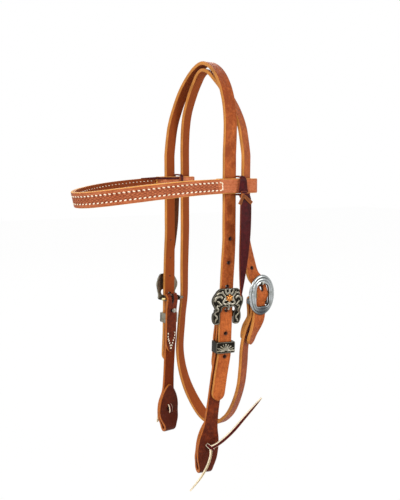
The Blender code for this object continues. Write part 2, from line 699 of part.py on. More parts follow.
def cheek_strap(name, frame, sway, share):
    route = cheek_route(frame, sway, share)

    def along(depth, drop):
        return route.nearest(frame @ Vector((sway(-drop), depth, -drop)))

    half, wide, fold = STRAP_WIDTH / 2, BIT_END_WIDTH / 2, BIT_FOLD_WIDTH / 2
    bar = along(CHEEK_BAR, CHEEK_BAR - CHEEK_INNER)
    drop = CHEEK_LENGTH * share
    lace, tab_lace = (along(depth, drop * LACE_SHARE) for depth in (CHEEK_OUTER, CHEEK_SEWN))
    flare = along(CHEEK_OUTER, drop * BIT_FLARE_SHARE)
    bottom = (lace + tab_lace) / 2
    end = route.length
    stations = [(0, 0), (CHAPE_TIP / 3, half * 0.62), (CHAPE_TIP * 2 / 3, half * 0.9), (CHAPE_TIP, half)]
    stations += [(flare, half), (flare * 0.6 + lace * 0.4, half * 1.15)]
    stations += [(flare * 0.25 + lace * 0.75, wide * 0.92), (lace, wide)]
    stations += [(lace * 0.6 + bottom * 0.4, wide * 0.93), (lace * 0.2 + bottom * 0.8, fold)]
    stations += [(tab_lace * 0.2 + bottom * 0.8, fold), (tab_lace * 0.6 + bottom * 0.4, wide * 0.93)]
    stations += [(tab_lace, wide), (tab_lace * 0.6 + end * 0.4, wide * 0.88)]
    stations += [(tab_lace * 0.25 + end * 0.75, wide * 0.5), (end, 0)]
    outer_rivet, inner_rivet = along(CHEEK_OUTER, RIVET_DROP), along(CHEEK_OPEN, RIVET_DROP)
    holes = [slot(bar, TONGUE_FOLD_SLOT, TONGUE_SLOT)]
    holes += [circle(0, at, 2 * (RIVET_POST + 2 * FIT)) for at in (inner_rivet, outer_rivet)]
    holes += [circle(0, at, LACE_HOLE) for at in (lace, tab_lace)]
    steps = [along(CHEEK_OPEN, CHAPE_OPEN), along(CHEEK_SEWN, CHAPE_LENGTH * 0.76)]
    steps.append(along(CHEEK_OUTER, SWAY_FROM))
    outlines = [both_edges(stations), *holes]
    return node(name, strap(outlines, CHEEK_THICKNESS, STRAP_EDGE, route, also=steps), OILED)


# Buckles

# Half outline of the scalloped plate, as shares of its half width and of its height from the
# lower ends of its legs: down the outside, round the leg and back up inside
PLATE_HALF_SHARES = (
    (0.00, 1.00), (0.30, 0.985), (0.55, 0.995), (0.75, 0.96), (0.90, 0.88), (1.00, 0.76),
    (1.00, 0.64), (0.94, 0.55), (0.88, 0.48), (0.90, 0.42), (1.02, 0.36), (1.09, 0.27),
    (1.05, 0.15), (0.94, 0.05), (0.76, 0.00),
)


def cheek_plate():
    """The buckle in its own frame: a domed plate whose two legs carry the bar behind the strap."""
    height = PLATE_TOP + PLATE_LOBE_DROP
    outer = [(x * PLATE_WIDTH / 2, y * height - PLATE_LOBE_DROP) for x, y in PLATE_HALF_SHARES]
    inner_x = STRAP_WIDTH / 2 + PLAY
    arch = PLATE_LOWER_EDGE * 0.3
    inner = [(inner_x + PLAY, -PLATE_LOBE_DROP * 0.93), (inner_x, -PLATE_LOBE_DROP * 0.7)]
    inner += [(inner_x, PLATE_LOWER_EDGE - arch), (inner_x * 0.93, PLATE_LOWER_EDGE - arch * 0.4)]
    inner += [(inner_x * 0.6, PLATE_LOWER_EDGE), (0, PLATE_LOWER_EDGE - arch * 0.5)]
    half = outer + inner
    outline = half + [(-x, y) for x, y in reversed(half[1:-1])]
    mesh = blank([outline], PLATE_THICKNESS, PLATE_EDGE)
    cross_cut(mesh, X, [PLATE_WIDTH * s for s in (-0.37, -0.22, -0.07, 0.07, 0.22, 0.37)])
    leg_top = PLATE_LOWER_EDGE - arch
    cross_cut(mesh, Y, [leg_top * s for s in (1, 0.75, 0.5, 0.25, 0)])
    cross_cut(mesh, Y, [-PLATE_LOBE_DROP * s for s in (0.3, 0.65)])
    back = CROWN_THICKNESS / 2 + FIT + PLATE_THICKNESS / 2

    def place(across, along, out):
        dome = PLATE_DOME * (1 - (2 * across / PLATE_WIDTH) ** 2)
        down = min(max((leg_top - along) / leg_top, 0.0), 1.0)
        down *= down * (3 - 2 * down)
        return face(across, along, out + back + dome * (1 - down) - PLATE_SINK * down)

    mapped(mesh, place)
    return joined(mesh, *lugs_and_bar(CHEEK_BAR, PLATE_SINK - back))


def lugs_and_bar(bar_depth, front):
    """A heel bar, and the two ears that carry it behind a plate whose middle is at the front."""
    inner_x = STRAP_WIDTH / 2 + PLAY
    back = bar_depth + 2 * BAR_RADIUS
    low, high = BAR_RADIUS * 1.9, BAR_RADIUS * 2.6
    outline = [(-low, back), (low, back), (high, front), (-high, front)]
    pieces = []
    for towards in (-1, 1):
        ear = blank([outline], LEG_WIDTH / 2, PLATE_EDGE / 2)
        middle = towards * (inner_x + LEG_WIDTH / 4)
        pieces.append(mapped(ear, lambda a, b, c: Vector((middle - c, b, a))))
    bar = cylinder(BAR_RADIUS, 2 * inner_x + LEG_WIDTH / 2, X, Vector((0, bar_depth, 0)))
    return [*pieces, bar]


def tongue(bar_depth, line):
    """A ring round the bar with a shank that rises through the billet's hole."""
    ring_radius = BAR_RADIUS + FIT + TONGUE_RADIUS
    ring = torus(ring_radius, TONGUE_RADIUS, X, Vector((0, bar_depth, 0)))
    dense = through([Vector((0, depth, height)) for depth, height in line], step=2 * TONGUE_RADIUS)
    shank = tube(dense, TONGUE_RADIUS)
    return joined(ring, shank)


def cheek_tongue():
    top = CHEEK_BAR - BAR_RADIUS - TONGUE_RADIUS
    rest = CROWN_THICKNESS / 2 + FIT + PLATE_THICKNESS + PLATE_DOME + FIT + TONGUE_RADIUS
    return tongue(
        CHEEK_BAR,
        (
            (top + TONGUE_RADIUS, BAR_RADIUS + FIT + TONGUE_RADIUS),
            (top / 2, TONGUE_HOLE_UP - TONGUE_BEND),
            (0, TONGUE_HOLE_UP),
            (-CROWN_THICKNESS / 2 - TONGUE_RADIUS, TONGUE_HOLE_UP + TONGUE_BEND),
            (-rest + TONGUE_BEND, TONGUE_HOLE_UP + TONGUE_REACH * 0.6),
            (-rest, PLATE_LOWER_EDGE),
            (-rest, PLATE_LOWER_EDGE + TONGUE_REACH),
        ),
    )


def bead():
    """A small five-petalled flower on the plate."""
    petals, points = 5, 20
    line = []
    for i in range(points):
        a = 2 * math.pi * i / points
        reach = BEAD_DIAMETER / 2 * (0.86 + 0.14 * abs(math.cos(petals * a / 2)))
        line.append((reach * math.sin(a), BEAD_UP + reach * math.cos(a)))
    base = blank([line], BEAD_HEIGHT * 0.6, PLATE_EDGE / 2)
    surface = CROWN_THICKNESS / 2 + FIT + PLATE_THICKNESS + PLATE_DOME + FIT
    base.transform(Matrix.Translation((0, 0, surface + BEAD_HEIGHT * 0.3)))
    mapped(base, face)
    radius, rise = BEAD_DIAMETER * 0.24, BEAD_HEIGHT * 0.45
    profile = [(0, rise), (radius * 0.6, rise * 0.86), (radius, rise * 0.4), (radius, -rise), (0, -rise)]
    middle = Vector((0, -surface - BEAD_HEIGHT * 0.58, BEAD_UP))
    return joined(base, turned(profile, -Y, middle, 8))


def keeper():
    """A box loop round the billet and the cheek strap; its back runs inside the chape."""
    half = STRAP_WIDTH / 2 + PLAY
    front = -CROWN_THICKNESS / 2 - PLAY
    back = CHEEK_OUTER + CHEEK_THICKNESS / 2 + FIT
    round_inside = PLATE_EDGE

    def rounded(x, low, high, radius):
        corners = [(x, low, -1), (x, high, 0), (-x, high, 1), (-x, low, 2)]
        points = []
        for cx, cy, quarter in corners:
            centre = (cx - math.copysign(radius, cx), cy + (radius if cy == low else -radius))
            for i in range(4):
                a = math.pi / 2 * (quarter + i / 3)
                points.append((centre[0] + radius * math.cos(a), centre[1] + radius * math.sin(a)))
        return points

    inner = rounded(half, front, back, round_inside)
    outer = rounded(half + KEEPER_WALL, front - KEEPER_FRONT, back + KEEPER_BACK, KEEPER_WALL)
    mesh = blank([outer, inner], KEEPER_HEIGHT, PLATE_EDGE / 2)
    return mesh


def rivet():
    """A domed head inside, a post through both layers and a thin cap under the billet."""
    inside = CHEEK_OPEN + CHEEK_THICKNESS / 2 + FIT
    outside = CHEEK_OUTER - CHEEK_THICKNESS / 2 - FIT
    profile = (
        (0, inside + RIVET_HEAD_HEIGHT),
        (RIVET_HEAD * 0.55, inside + RIVET_HEAD_HEIGHT * 0.85),
        (RIVET_HEAD * 0.9, inside + RIVET_HEAD_HEIGHT * 0.45),
        (RIVET_HEAD, inside),
        (RIVET_POST, inside),
        (RIVET_POST, outside),
        (RIVET_HEAD * 0.85, outside),
        (RIVET_HEAD * 0.85, outside - RIVET_CAP),
        (0, outside - RIVET_CAP),
    )
    return turned(profile, Y, Vector((0, 0, -RIVET_DROP)))


# Bit laces: shares of a tail's reach back, out and up along its length

LACE_UP_SHARES = ((0, 0, 0), (0.12, 0.35, 0.10), (0.35, 0.75, 0.33), (0.65, 0.95, 0.66), (1, 1, 1))
LACE_DOWN_SHARES = ((0, 0, 0), (0.06, 0.35, 0.15), (0.25, 0.75, 0.36), (0.56, 0.95, 0.66), (1, 1, 1))


def lace(frame, sway, drop, up, down):
    """A flat thong through both holes, knotted on the outside, with two loose tails."""
    half = LACE_WIDTH / 2
    out = CHEEK_OUTER - CHEEK_THICKNESS / 2 - FIT
    set_here = sway(-drop)
    knot = Vector((set_here, out - LACE_THICKNESS, -drop))

    def tail(towards, shares):
        reach = Vector((towards.x, -towards.y, towards.z))
        line = [knot + Vector((reach.x * a, reach.y * b, reach.z * c)) for a, b, c in shares]
        side = Vector((reach.z, 0, -reach.x)).normalized()
        route = Route([(frame @ p, frame.to_3x3() @ side) for p in line])
        stations = [(0, half), (route.length * 0.6, half), (route.length * 0.9, half * 0.7)]
        stations.append((route.length, half * 0.25))
        return strap([both_edges(stations)], LACE_THICKNESS, STRAP_EDGE / 2, route, turn=BEND * 1.5)

    inside = CHEEK_SEWN + CHEEK_THICKNESS / 2 + 2 * FIT
    head = LACE_HOLE * 0.95
    profile = (
        (0, inside + LACE_THICKNESS),
        (head * 0.7, inside + LACE_THICKNESS * 0.8),
        (head * 0.8, inside),
        (LACE_HOLE / 2 - 2 * FIT, inside),
        (LACE_HOLE / 2 - 2 * FIT, out),
        (head * 0.8, out),
        (head * 0.95, out - LACE_THICKNESS * 0.6),
        (head * 0.85, out - LACE_THICKNESS * 1.4),
        (head * 0.4, out - LACE_THICKNESS * 1.9),
        (0, out - LACE_THICKNESS * 2),
    )
    body = turned(profile, Y, Vector((set_here, 0, -drop)), 8)
    body.transform(frame)
    return joined(body, tail(up, LACE_UP_SHARES), tail(down, LACE_DOWN_SHARES))


# Oval throat buckle


def ellipse(width, height, up, sides=32):
    turns = (2 * math.pi * i / sides for i in range(sides))
    return [(width / 2 * math.sin(a), up + height / 2 * math.cos(a)) for a in turns]


def arched(width, height, up, arc=4):
    """A window with square lower corners and a rounded top."""
    half, radius = width / 2, width * 0.36
    top, bottom = up + height / 2, up - height / 2
    points = [(-half, bottom), (half, bottom)]
    for start, x in ((0, half - radius), (math.pi / 2, radius - half)):
        for i in range(arc + 1):
            a = start + math.pi / 2 * i / arc
            points.append((x + radius * math.cos(a), top - radius + radius * math.sin(a)))
    return points


def oval_ring():
    """A stepped oval plate with a window, and lugs behind it that hold the bar."""
    back = THROAT_THICKNESS / 2 + FIT
    window = arched(RING_OPENING_WIDTH, RING_OPENING_HEIGHT, RING_UP)
    base = blank([ellipse(RING_WIDTH, RING_HEIGHT, RING_UP), window], RING_THICKNESS, PLATE_EDGE)
    base.transform(Matrix.Translation((0, 0, back + RING_THICKNESS / 2)))
    step_in = 2 * RING_STEP_IN
    low = RING_THICKNESS * 0.4
    rise = RING_THICKNESS + RING_STEP - low
    inner_window = arched(
        RING_OPENING_WIDTH + RING_STEP, RING_OPENING_HEIGHT + RING_STEP, RING_UP
    )
    rim = ellipse(RING_WIDTH - step_in, RING_HEIGHT - step_in, RING_UP)
    step = blank([rim, inner_window], rise, PLATE_EDGE / 2)
    step.transform(Matrix.Translation((0, 0, back + low + rise / 2)))
    mapped(base, face)
    mapped(step, face)
    return joined(base, step, *lugs_and_bar(THROAT_BAR, -back - RING_THICKNESS * 0.7))


def throat_tongue():
    top = RING_UP + RING_OPENING_HEIGHT / 2
    rest = THROAT_THICKNESS / 2 + FIT + RING_THICKNESS + RING_STEP + FIT + TONGUE_RADIUS
    under = THROAT_THICKNESS / 2 + TONGUE_REACH
    return tongue(
        THROAT_BAR,
        (
            (THROAT_BAR - BAR_RADIUS, BAR_RADIUS + FIT + TONGUE_RADIUS),
            (THROAT_BAR * 0.75, THROAT_HOLE_UP * 0.45),
            (under, THROAT_HOLE_UP * 0.75),
            (0, THROAT_HOLE_UP),
            (-THROAT_THICKNESS / 2 - TONGUE_RADIUS, THROAT_HOLE_UP + SHORT),
            (-rest, top),
            (-rest, top + TONGUE_REACH),
        ),
    )


# Browband


def half_depth(turn, thickness):
    """Half the room that a strap needs across a loop when it hangs at a turn."""
    return STRAP_WIDTH / 2 * math.sin(turn) + thickness / 2 * math.cos(turn)


BAND_OUT = ARCH_HALF_WIDTH + half_depth(OFF_CROWN_TURN, CROWN_THICKNESS) + PLAY + BAND_THICKNESS / 2
LOOP_IN = THROAT_SPREAD - half_depth(THROAT_TURN, THROAT_THICKNESS) - PLAY - BAND_THICKNESS / 2
CROWN_IN = ARCH_HALF_WIDTH - half_depth(OFF_CROWN_TURN, CROWN_THICKNESS) - PLAY - BAND_THICKNESS / 2
SEWN_IN = BAND_OUT - BAND_THICKNESS - FIT

# Plan of one arm from the loops to the front middle, as shares of BAND_REACH and BAND_OUT
BAND_ARM_SHARES = ((-0.20, 1.0), (-0.36, 0.99), (-0.56, 0.93), (-0.74, 0.78), (-0.885, 0.54), (-0.97, 0.27))


def band_half(towards, throat_set, power):
    """The points of one side from the seam inside, round the straps and forward to the middle."""
    back = throat_set + LOOP_BACK
    crown_front = OFF_CROWN_SET - STRAP_WIDTH / 2 - PLAY
    fold = (BAND_OUT - LOOP_IN) / 2
    line = [(SEAM_SET, SEWN_IN, 0), (SEAM_SET * 0.93, SEWN_IN, 0), (crown_front - SHORT, CROWN_IN, 0)]
    line += [(crown_front + 3 * SHORT, CROWN_IN - SHORT / 2, 0), (back * 0.6, LOOP_IN, 0)]
    steps = 6
    for i in range(steps + 1):
        a = math.pi * i / steps
        line.append((back + fold * math.sin(a), LOOP_IN + fold * (1 - math.cos(a)), 0))
    line += [(0, BAND_OUT, 0), (crown_front, BAND_OUT, 0)]
    for x, y in BAND_ARM_SHARES:
        line.append((x * BAND_REACH, y * BAND_OUT, (-x) ** power))
    points = []
    for x, y, share in line:
        roll = BAND_ROLL * min(share * 3, 1)
        side = Vector((0, towards * math.sin(roll), math.cos(roll)))
        if share > 0:
            ahead = Vector((-share, towards * (1 - share), 0)).normalized()
            side = ahead * math.sin(roll) + Z * math.cos(roll)
        points.append((Vector((x, towards * y, -BAND_DROP - BAND_SAG * share)), side))
    return points


def band_route():
    near = band_half(-1, THROAT_SET, BAND_SAG_POWER)
    off = band_half(1, OFF_THROAT_SET, OFF_BAND_SAG_POWER)
    middle_side = Vector((-math.sin(BAND_ROLL), 0, math.cos(BAND_ROLL)))
    middle = (Vector((-BAND_REACH, 0, -BAND_DROP - BAND_SAG)), middle_side)
    return Route([*near, middle, *reversed(off)])


def browband_front(route):
    half = BAND_HEIGHT / 2
    outline = [(half, 0), (half, route.length), (-half, route.length), (-half, 0)]
    return strap([outline], BAND_THICKNESS, BAND_EDGE, route)


def browband_lining(route):
    half = BAND_HEIGHT / 2
    first = route.nearest(Vector((SEAM_SET - PLAY - BAND_THICKNESS, -BAND_OUT, -BAND_DROP)))
    last = route.nearest(Vector((SEAM_SET - PLAY - BAND_THICKNESS, BAND_OUT, -BAND_DROP)))
    length = last - first
    outline = [(half, 0), (half, length), (-half, length), (-half, 0)]
    inward = -(BAND_THICKNESS / 2 + FIT + LINING_THICKNESS / 2)
    return strap([outline], LINING_THICKNESS, BAND_EDGE, route, start=first, out=inward)


# Browband laces

TIE_OUT = BAND_OUT + BAND_THICKNESS / 2 + 2 * FIT + TIE_THICKNESS / 2
TIE_IN = LOOP_IN - BAND_THICKNESS / 2 - 2 * FIT - TIE_THICKNESS / 2
TIE_UP = BAND_HEIGHT / 2 + FIT + TIE_THICKNESS / 2
TIE_TAIL_OUT = TIE_OUT + 2 * (TIE_THICKNESS + FIT)


def tie_wrap(towards, set_here):
    """A lace wound once round the loop, its end lapped over its start and drawn through a slit."""
    corner = 1.5 * TIE_THICKNESS
    lap = TIE_THICKNESS + FIT
    line = [(TIE_OUT, -TIE_UP * 0.75), (TIE_OUT, 0), (TIE_OUT, TIE_UP - corner)]
    line += [(TIE_OUT - corner * 0.29, TIE_UP - corner * 0.29), (TIE_OUT - corner, TIE_UP)]
    line += [(TIE_IN + corner, TIE_UP), (TIE_IN + corner * 0.29, TIE_UP - corner * 0.29)]
    line += [(TIE_IN, TIE_UP - corner), (TIE_IN, corner - TIE_UP)]
    line += [(TIE_IN + corner * 0.29, corner * 0.29 - TIE_UP), (TIE_IN + corner, -TIE_UP)]
    line += [(TIE_OUT - corner * 0.8, -TIE_UP), (TIE_OUT, -TIE_UP - lap * 1.1)]
    line += [(TIE_OUT + lap, -TIE_UP * 0.95), (TIE_OUT + lap, -TIE_UP * 0.55)]
    points = [
        (Vector((set_here, towards * y, -BAND_DROP + z)), X * -towards) for y, z in line
    ]
    return Route(points)


def tie(name, towards, set_here, width):
    route = tie_wrap(towards, set_here)
    half, wide = width / 2, TIE_FLARE / 2
    end = route.length
    stations = [(0, wide), (TIE_UP * 0.8, wide * 0.8), (TIE_UP * 1.7, half), (end - TIE_UP * 1.2, half)]
    stations.append((end, half * 1.2))
    mesh = strap([both_edges(stations)], TIE_THICKNESS, STRAP_EDGE / 2, route, turn=BEND * 1.5)
    return node(name, mesh, BURGUNDY)


def tie_tail(name, towards, set_here, length, lean):
    """The lace's long end, which hangs from the knot and tapers to a point."""
    top = Vector((set_here, towards * TIE_TAIL_OUT, -BAND_DROP - TIE_UP * 1.25))
    out = towards * TIE_THICKNESS
    line = [top + Vector((0, 0, TIE_UP * 0.45)), top, top + Vector((lean * 0.2, out, -length * 0.3))]
    line.append(top + Vector((lean * 0.6, out * 1.4, -length * 0.65)))
    line.append(top + Vector((lean, out * 1.5, -length)))
    route = Route([(p, X * towards) for p in line])
    half = TIE_FLARE * 0.44
    end = route.length
    stations = [(0, half * 0.5), (end * 0.05, half * 0.8), (end * 0.14, half), (end * 0.3, half)]
    stations += [(end * 0.6, half * 0.72), (end * 0.85, half * 0.36), (end, 0)]
    mesh = strap([both_edges(stations)], TIE_THICKNESS, STRAP_EDGE / 2, route)
    return node(name, mesh, BURGUNDY, top + Vector((0, 0, TIE_UP * 0.45)))


def build():
    node("crown_strap", crown_strap(crown_route()), RUSSET)
    node("throatlatch_strap", throatlatch_strap(throat_route()), RUSSET)
    band = band_route()
    node("browband_front", browband_front(band), TAN)
    node("browband_lining", browband_lining(band), RUSSET)
    plate, pin, flower, loop, stud = cheek_plate(), cheek_tongue(), bead(), keeper(), rivet()
    for side, frame, sway, share, drop in (
        ("near", NEAR, near_sway, 1.0, KEEPER_DROP),
        ("off", OFF, off_sway, OFF_CHEEK_SHARE, OFF_KEEPER_DROP),
    ):
        cheek_strap(side + "_cheek_strap", frame, sway, share)
        bar = frame @ Vector((0, CHEEK_BAR, 0))
        for name, shape, finish, pivot in (
            ("_cheek_buckle", plate, SILVER, frame.translation),
            ("_cheek_tongue", pin, STEEL, bar),
            ("_buckle_flower", flower, COPPER, frame.translation),
            ("_cheek_keeper", loop, SILVER, frame @ Vector((0, 0, -drop))),
            ("_chape_rivet", stud, STEEL, frame.translation),
        ):
            mesh = shape.copy()
            if shape is loop:
                mesh.transform(Matrix.Translation((0, 0, -drop)))
            mesh.transform(frame)
            node(side + name, mesh, finish, pivot)
    drop = CHEEK_LENGTH * LACE_SHARE
    node("near_bit_lace", lace(NEAR, near_sway, drop, NEAR_LACE_UP, NEAR_LACE_DOWN), BURGUNDY)
    drop *= OFF_CHEEK_SHARE
    node("off_bit_lace", lace(OFF, off_sway, drop, OFF_LACE_UP, OFF_LACE_DOWN), BURGUNDY)
    ring, long_tongue = oval_ring(), throat_tongue()
    ring.transform(THROAT)
    long_tongue.transform(THROAT)
    node("throat_buckle", ring, SILVER, THROAT.translation)
    node("throat_tongue", long_tongue, STEEL, THROAT @ Vector((0, THROAT_BAR, 0)))
    for side, towards, set_here, width, length, lean in (
        ("near", -1, TIE_SET, TIE_WIDTH, TIE_TAIL_LENGTH, TIE_TAIL_LEAN),
        ("off", 1, OFF_TIE_SET, OFF_TIE_WIDTH, OFF_TIE_TAIL_LENGTH, 0),
    ):
        tie(side + "_tie", towards, set_here, width)
        tie_tail(side + "_tie_tail", towards, set_here, length, lean)


build()
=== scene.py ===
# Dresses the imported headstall: leather straps, stitching, laces and engraved silver.
# Lengths are metres in the frame's own axes: up is +Z, the nose is towards -X and the near
# side towards -Y. Every strap is shaped flat and then bent along its route.

import math

import bmesh
import bpy
import numpy as np
from mathutils import Matrix, Vector


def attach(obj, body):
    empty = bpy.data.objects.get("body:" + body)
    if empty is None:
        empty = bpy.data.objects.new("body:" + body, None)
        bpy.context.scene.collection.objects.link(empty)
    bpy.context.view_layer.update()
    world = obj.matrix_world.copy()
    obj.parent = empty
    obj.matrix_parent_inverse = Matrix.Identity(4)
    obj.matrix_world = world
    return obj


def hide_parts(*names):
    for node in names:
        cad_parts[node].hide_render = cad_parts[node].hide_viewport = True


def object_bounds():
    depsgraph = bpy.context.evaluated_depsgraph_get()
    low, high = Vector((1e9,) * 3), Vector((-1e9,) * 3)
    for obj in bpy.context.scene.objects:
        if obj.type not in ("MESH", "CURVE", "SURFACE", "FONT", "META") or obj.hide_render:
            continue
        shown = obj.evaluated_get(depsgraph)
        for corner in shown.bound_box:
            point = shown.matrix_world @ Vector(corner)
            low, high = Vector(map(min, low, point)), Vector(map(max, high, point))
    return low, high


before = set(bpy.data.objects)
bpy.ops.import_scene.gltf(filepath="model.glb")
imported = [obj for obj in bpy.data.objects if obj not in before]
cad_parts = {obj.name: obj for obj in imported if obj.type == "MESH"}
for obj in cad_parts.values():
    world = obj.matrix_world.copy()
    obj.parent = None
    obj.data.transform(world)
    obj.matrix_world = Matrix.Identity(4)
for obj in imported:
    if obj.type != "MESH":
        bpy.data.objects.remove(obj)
cadLow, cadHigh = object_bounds()

mm = 0.001
xAxis, yAxis, zAxis = Vector((1, 0, 0)), Vector((0, 1, 0)), Vector((0, 0, 1))


# Camera, floor and light

cameraSet = {
    "place": (-0.4319, -0.7344, -0.1169),
    "pitch": 7.2,  # degrees below level
    "turn": -30.0,
    "lens": 49.46,  # on 36 mm of height
    "sensor": 36.0,
}

studioSet = {
    "floorDrop": 60 * mm,  # under the lowest lace
    "floorSize": 9.0,
    "floorWhite": 0.97,  # how much of the floor's own white the camera sees
    "worldLight": 0.62,
    "lamps": (
        # place, aim, size, watts
        ((-1.5, -1.0, 0.9), (-0.05, 0.0, -0.22), 1.1, 27.0),
        ((0.9, -1.7, 0.35), (0.0, 0.0, -0.25), 0.9, 15.0),
        ((0.5, 1.4, 0.9), (0.0, 0.0, -0.2), 1.2, 13.0),
        ((-0.9, -1.5, -0.75), (0.0, 0.0, -0.3), 0.8, 4.0),
    ),
}


# sRGB hex to the linear colour that a shader wants
def linear(text):
    parts = [int(text[i : i + 2], 16) / 255 for i in (0, 2, 4)]
    return (*[p / 12.92 if p <= 0.04045 else ((p + 0.055) / 1.055) ** 2.4 for p in parts], 1.0)


# adds a node and gives its first output, or the one asked for; an input is a number, a colour or
# another node's output
def addNode(tree, kind, inputs=None, output=0, **settings):
    made = tree.nodes.new("ShaderNode" + kind)
    for key, value in settings.items():
        setattr(made, key, value)
    for key, value in (inputs or {}).items():
        if isinstance(value, bpy.types.NodeSocket):
            tree.links.new(value, made.inputs[key])
        else:
            made.inputs[key].default_value = value
    return made.outputs[output] if len(made.outputs) else None


def placeCamera():
    data = bpy.data.cameras.new("photoView")
    data.sensor_fit = "VERTICAL"
    data.sensor_height = data.sensor_width = cameraSet["sensor"]
    data.lens = cameraSet["lens"]
    data.clip_start, data.clip_end = 0.01, 50.0
    made = bpy.data.objects.new("photoView", data)
    made.location = cameraSet["place"]
    made.rotation_euler = (
        math.radians(90 - cameraSet["pitch"]),
        0,
        math.radians(cameraSet["turn"]),
    )
    bpy.context.scene.collection.objects.link(made)
    bpy.context.scene.camera = made


# a surface or world that looks white to the camera and to mirrors, but lights at its own level
def seenWhite(tree, lit, white, share):
    path = tree.nodes.new("ShaderNodeLightPath").outputs
    seen = path["Is Camera Ray"]
    for ray in ("Is Transmission Ray", "Is Glossy Ray"):
        seen = addNode(tree, "Math", {0: seen, 1: path[ray]}, operation="MAXIMUM")
    seen = addNode(tree, "Math", {0: seen, 1: share}, operation="MULTIPLY")
    return addNode(tree, "MixShader", {0: seen, 1: lit, 2: white})


def buildStudio():
    scene = bpy.context.scene
    scene.view_settings.view_transform = "Standard"
    world = bpy.data.worlds.new("studio")
    scene.world = world
    world.use_nodes = True
    tree = world.node_tree
    tree.nodes.clear()
    lit = addNode(
        tree, "Background", {"Color": linear("F4F3F0"), "Strength": studioSet["worldLight"]}
    )
    white = addNode(tree, "Background", {"Color": (1, 1, 1, 1), "Strength": 1.0})
    addNode(tree, "OutputWorld", {"Surface": seenWhite(tree, lit, white, 1.0)})

    # a pale floor that keeps a faint shadow
    work = bmesh.new()
    bmesh.ops.create_grid(work, x_segments=1, y_segments=1, size=studioSet["floorSize"] / 2)
    bmesh.ops.translate(
        work, verts=work.verts, vec=(0, 0, cadLow[2] - studioSet["floorDrop"])
    )
    floor = meshObject("floor", work)
    paper = bpy.data.materials.new("pale paper")
    paper.use_nodes = True
    tree = paper.node_tree
    tree.nodes.clear()
    matt = addNode(tree, "BsdfDiffuse", {"Color": linear("F5F4F1"), "Roughness": 0.8})
    white = addNode(tree, "Emission", {"Color": (1, 1, 1, 1), "Strength": 1.0})
    seen = seenWhite(tree, matt, white, studioSet["floorWhite"])
    addNode(tree, "OutputMaterial", {"Surface": seen})
    floor.data.materials.append(paper)

    for place, aim, size, watts in studioSet["lamps"]:
        data = bpy.data.lights.new("softbox", "AREA")
        data.size = size
        data.energy = watts
        lamp = bpy.data.objects.new("softbox", data)
        lamp.location = place
        lamp.rotation_euler = (Vector(aim) - Vector(place)).to_track_quat("-Z", "Y").to_euler()
        scene.collection.objects.link(lamp)


# a new object from a bmesh, at the origin
def meshObject(name, work):
    mesh = bpy.data.meshes.new(name)
    work.to_mesh(mesh)
    work.free()
    made = bpy.data.objects.new(name, mesh)
    bpy.context.scene.collection.objects.link(made)
    return made


placeCamera()
buildStudio()
print("camera and studio ready")


# Leather and metal

harnessLook = {
    "face": "B8612C",
    "dark": "8A3E16",
    "cut": "C07E3C",  # the sides, cut through the hide
    "flesh": "8F4820",
    "stain": "3A1206",
    "mottle": 24 * mm,
    "pebble": 1.5 * mm,  # real pebbles are 0.5 mm, and would not show
    "rough": 0.50,
    "shine": 0.12,
    "bump": 0.45,
}
bridleLook = dict(
    harnessLook, face="C4754F", dark="A4532C", cut="E3A450", stain="5E1A10", pebble=1.0 * mm
)
oiledLook = dict(
    harnessLook, face="7C3110", dark="501A07", cut="AE6026", flesh="7E3412", stain="3E0803",
    mottle=16 * mm, rough=0.42, shine=0.11, bump=0.5,
)
latigoLook = dict(
    harnessLook, face="4C0D11", dark="2C0507", cut="7A3A22", flesh="8E5A38", stain="22070A",
    mottle=14 * mm, pebble=0.9 * mm, rough=0.34, shine=0.09, bump=0.25,
)
liningLook = dict(bridleLook, face="7E3A1C", dark="5E2410", cut="B87434", flesh="96481F")
thongLook = dict(
    latigoLook, face="5C0E10", dark="3E080A", cut="F2E2C4", flesh="CDBC90", rough=0.45
)


# a material with its nodes, its shader and the piece's own coordinates
def newMaterial(name):
    made = bpy.data.materials.new(name)
    made.use_nodes = True
    tree = made.node_tree
    place = addNode(tree, "TexCoord", output="Object")
    return made, tree, tree.nodes["Principled BSDF"], place


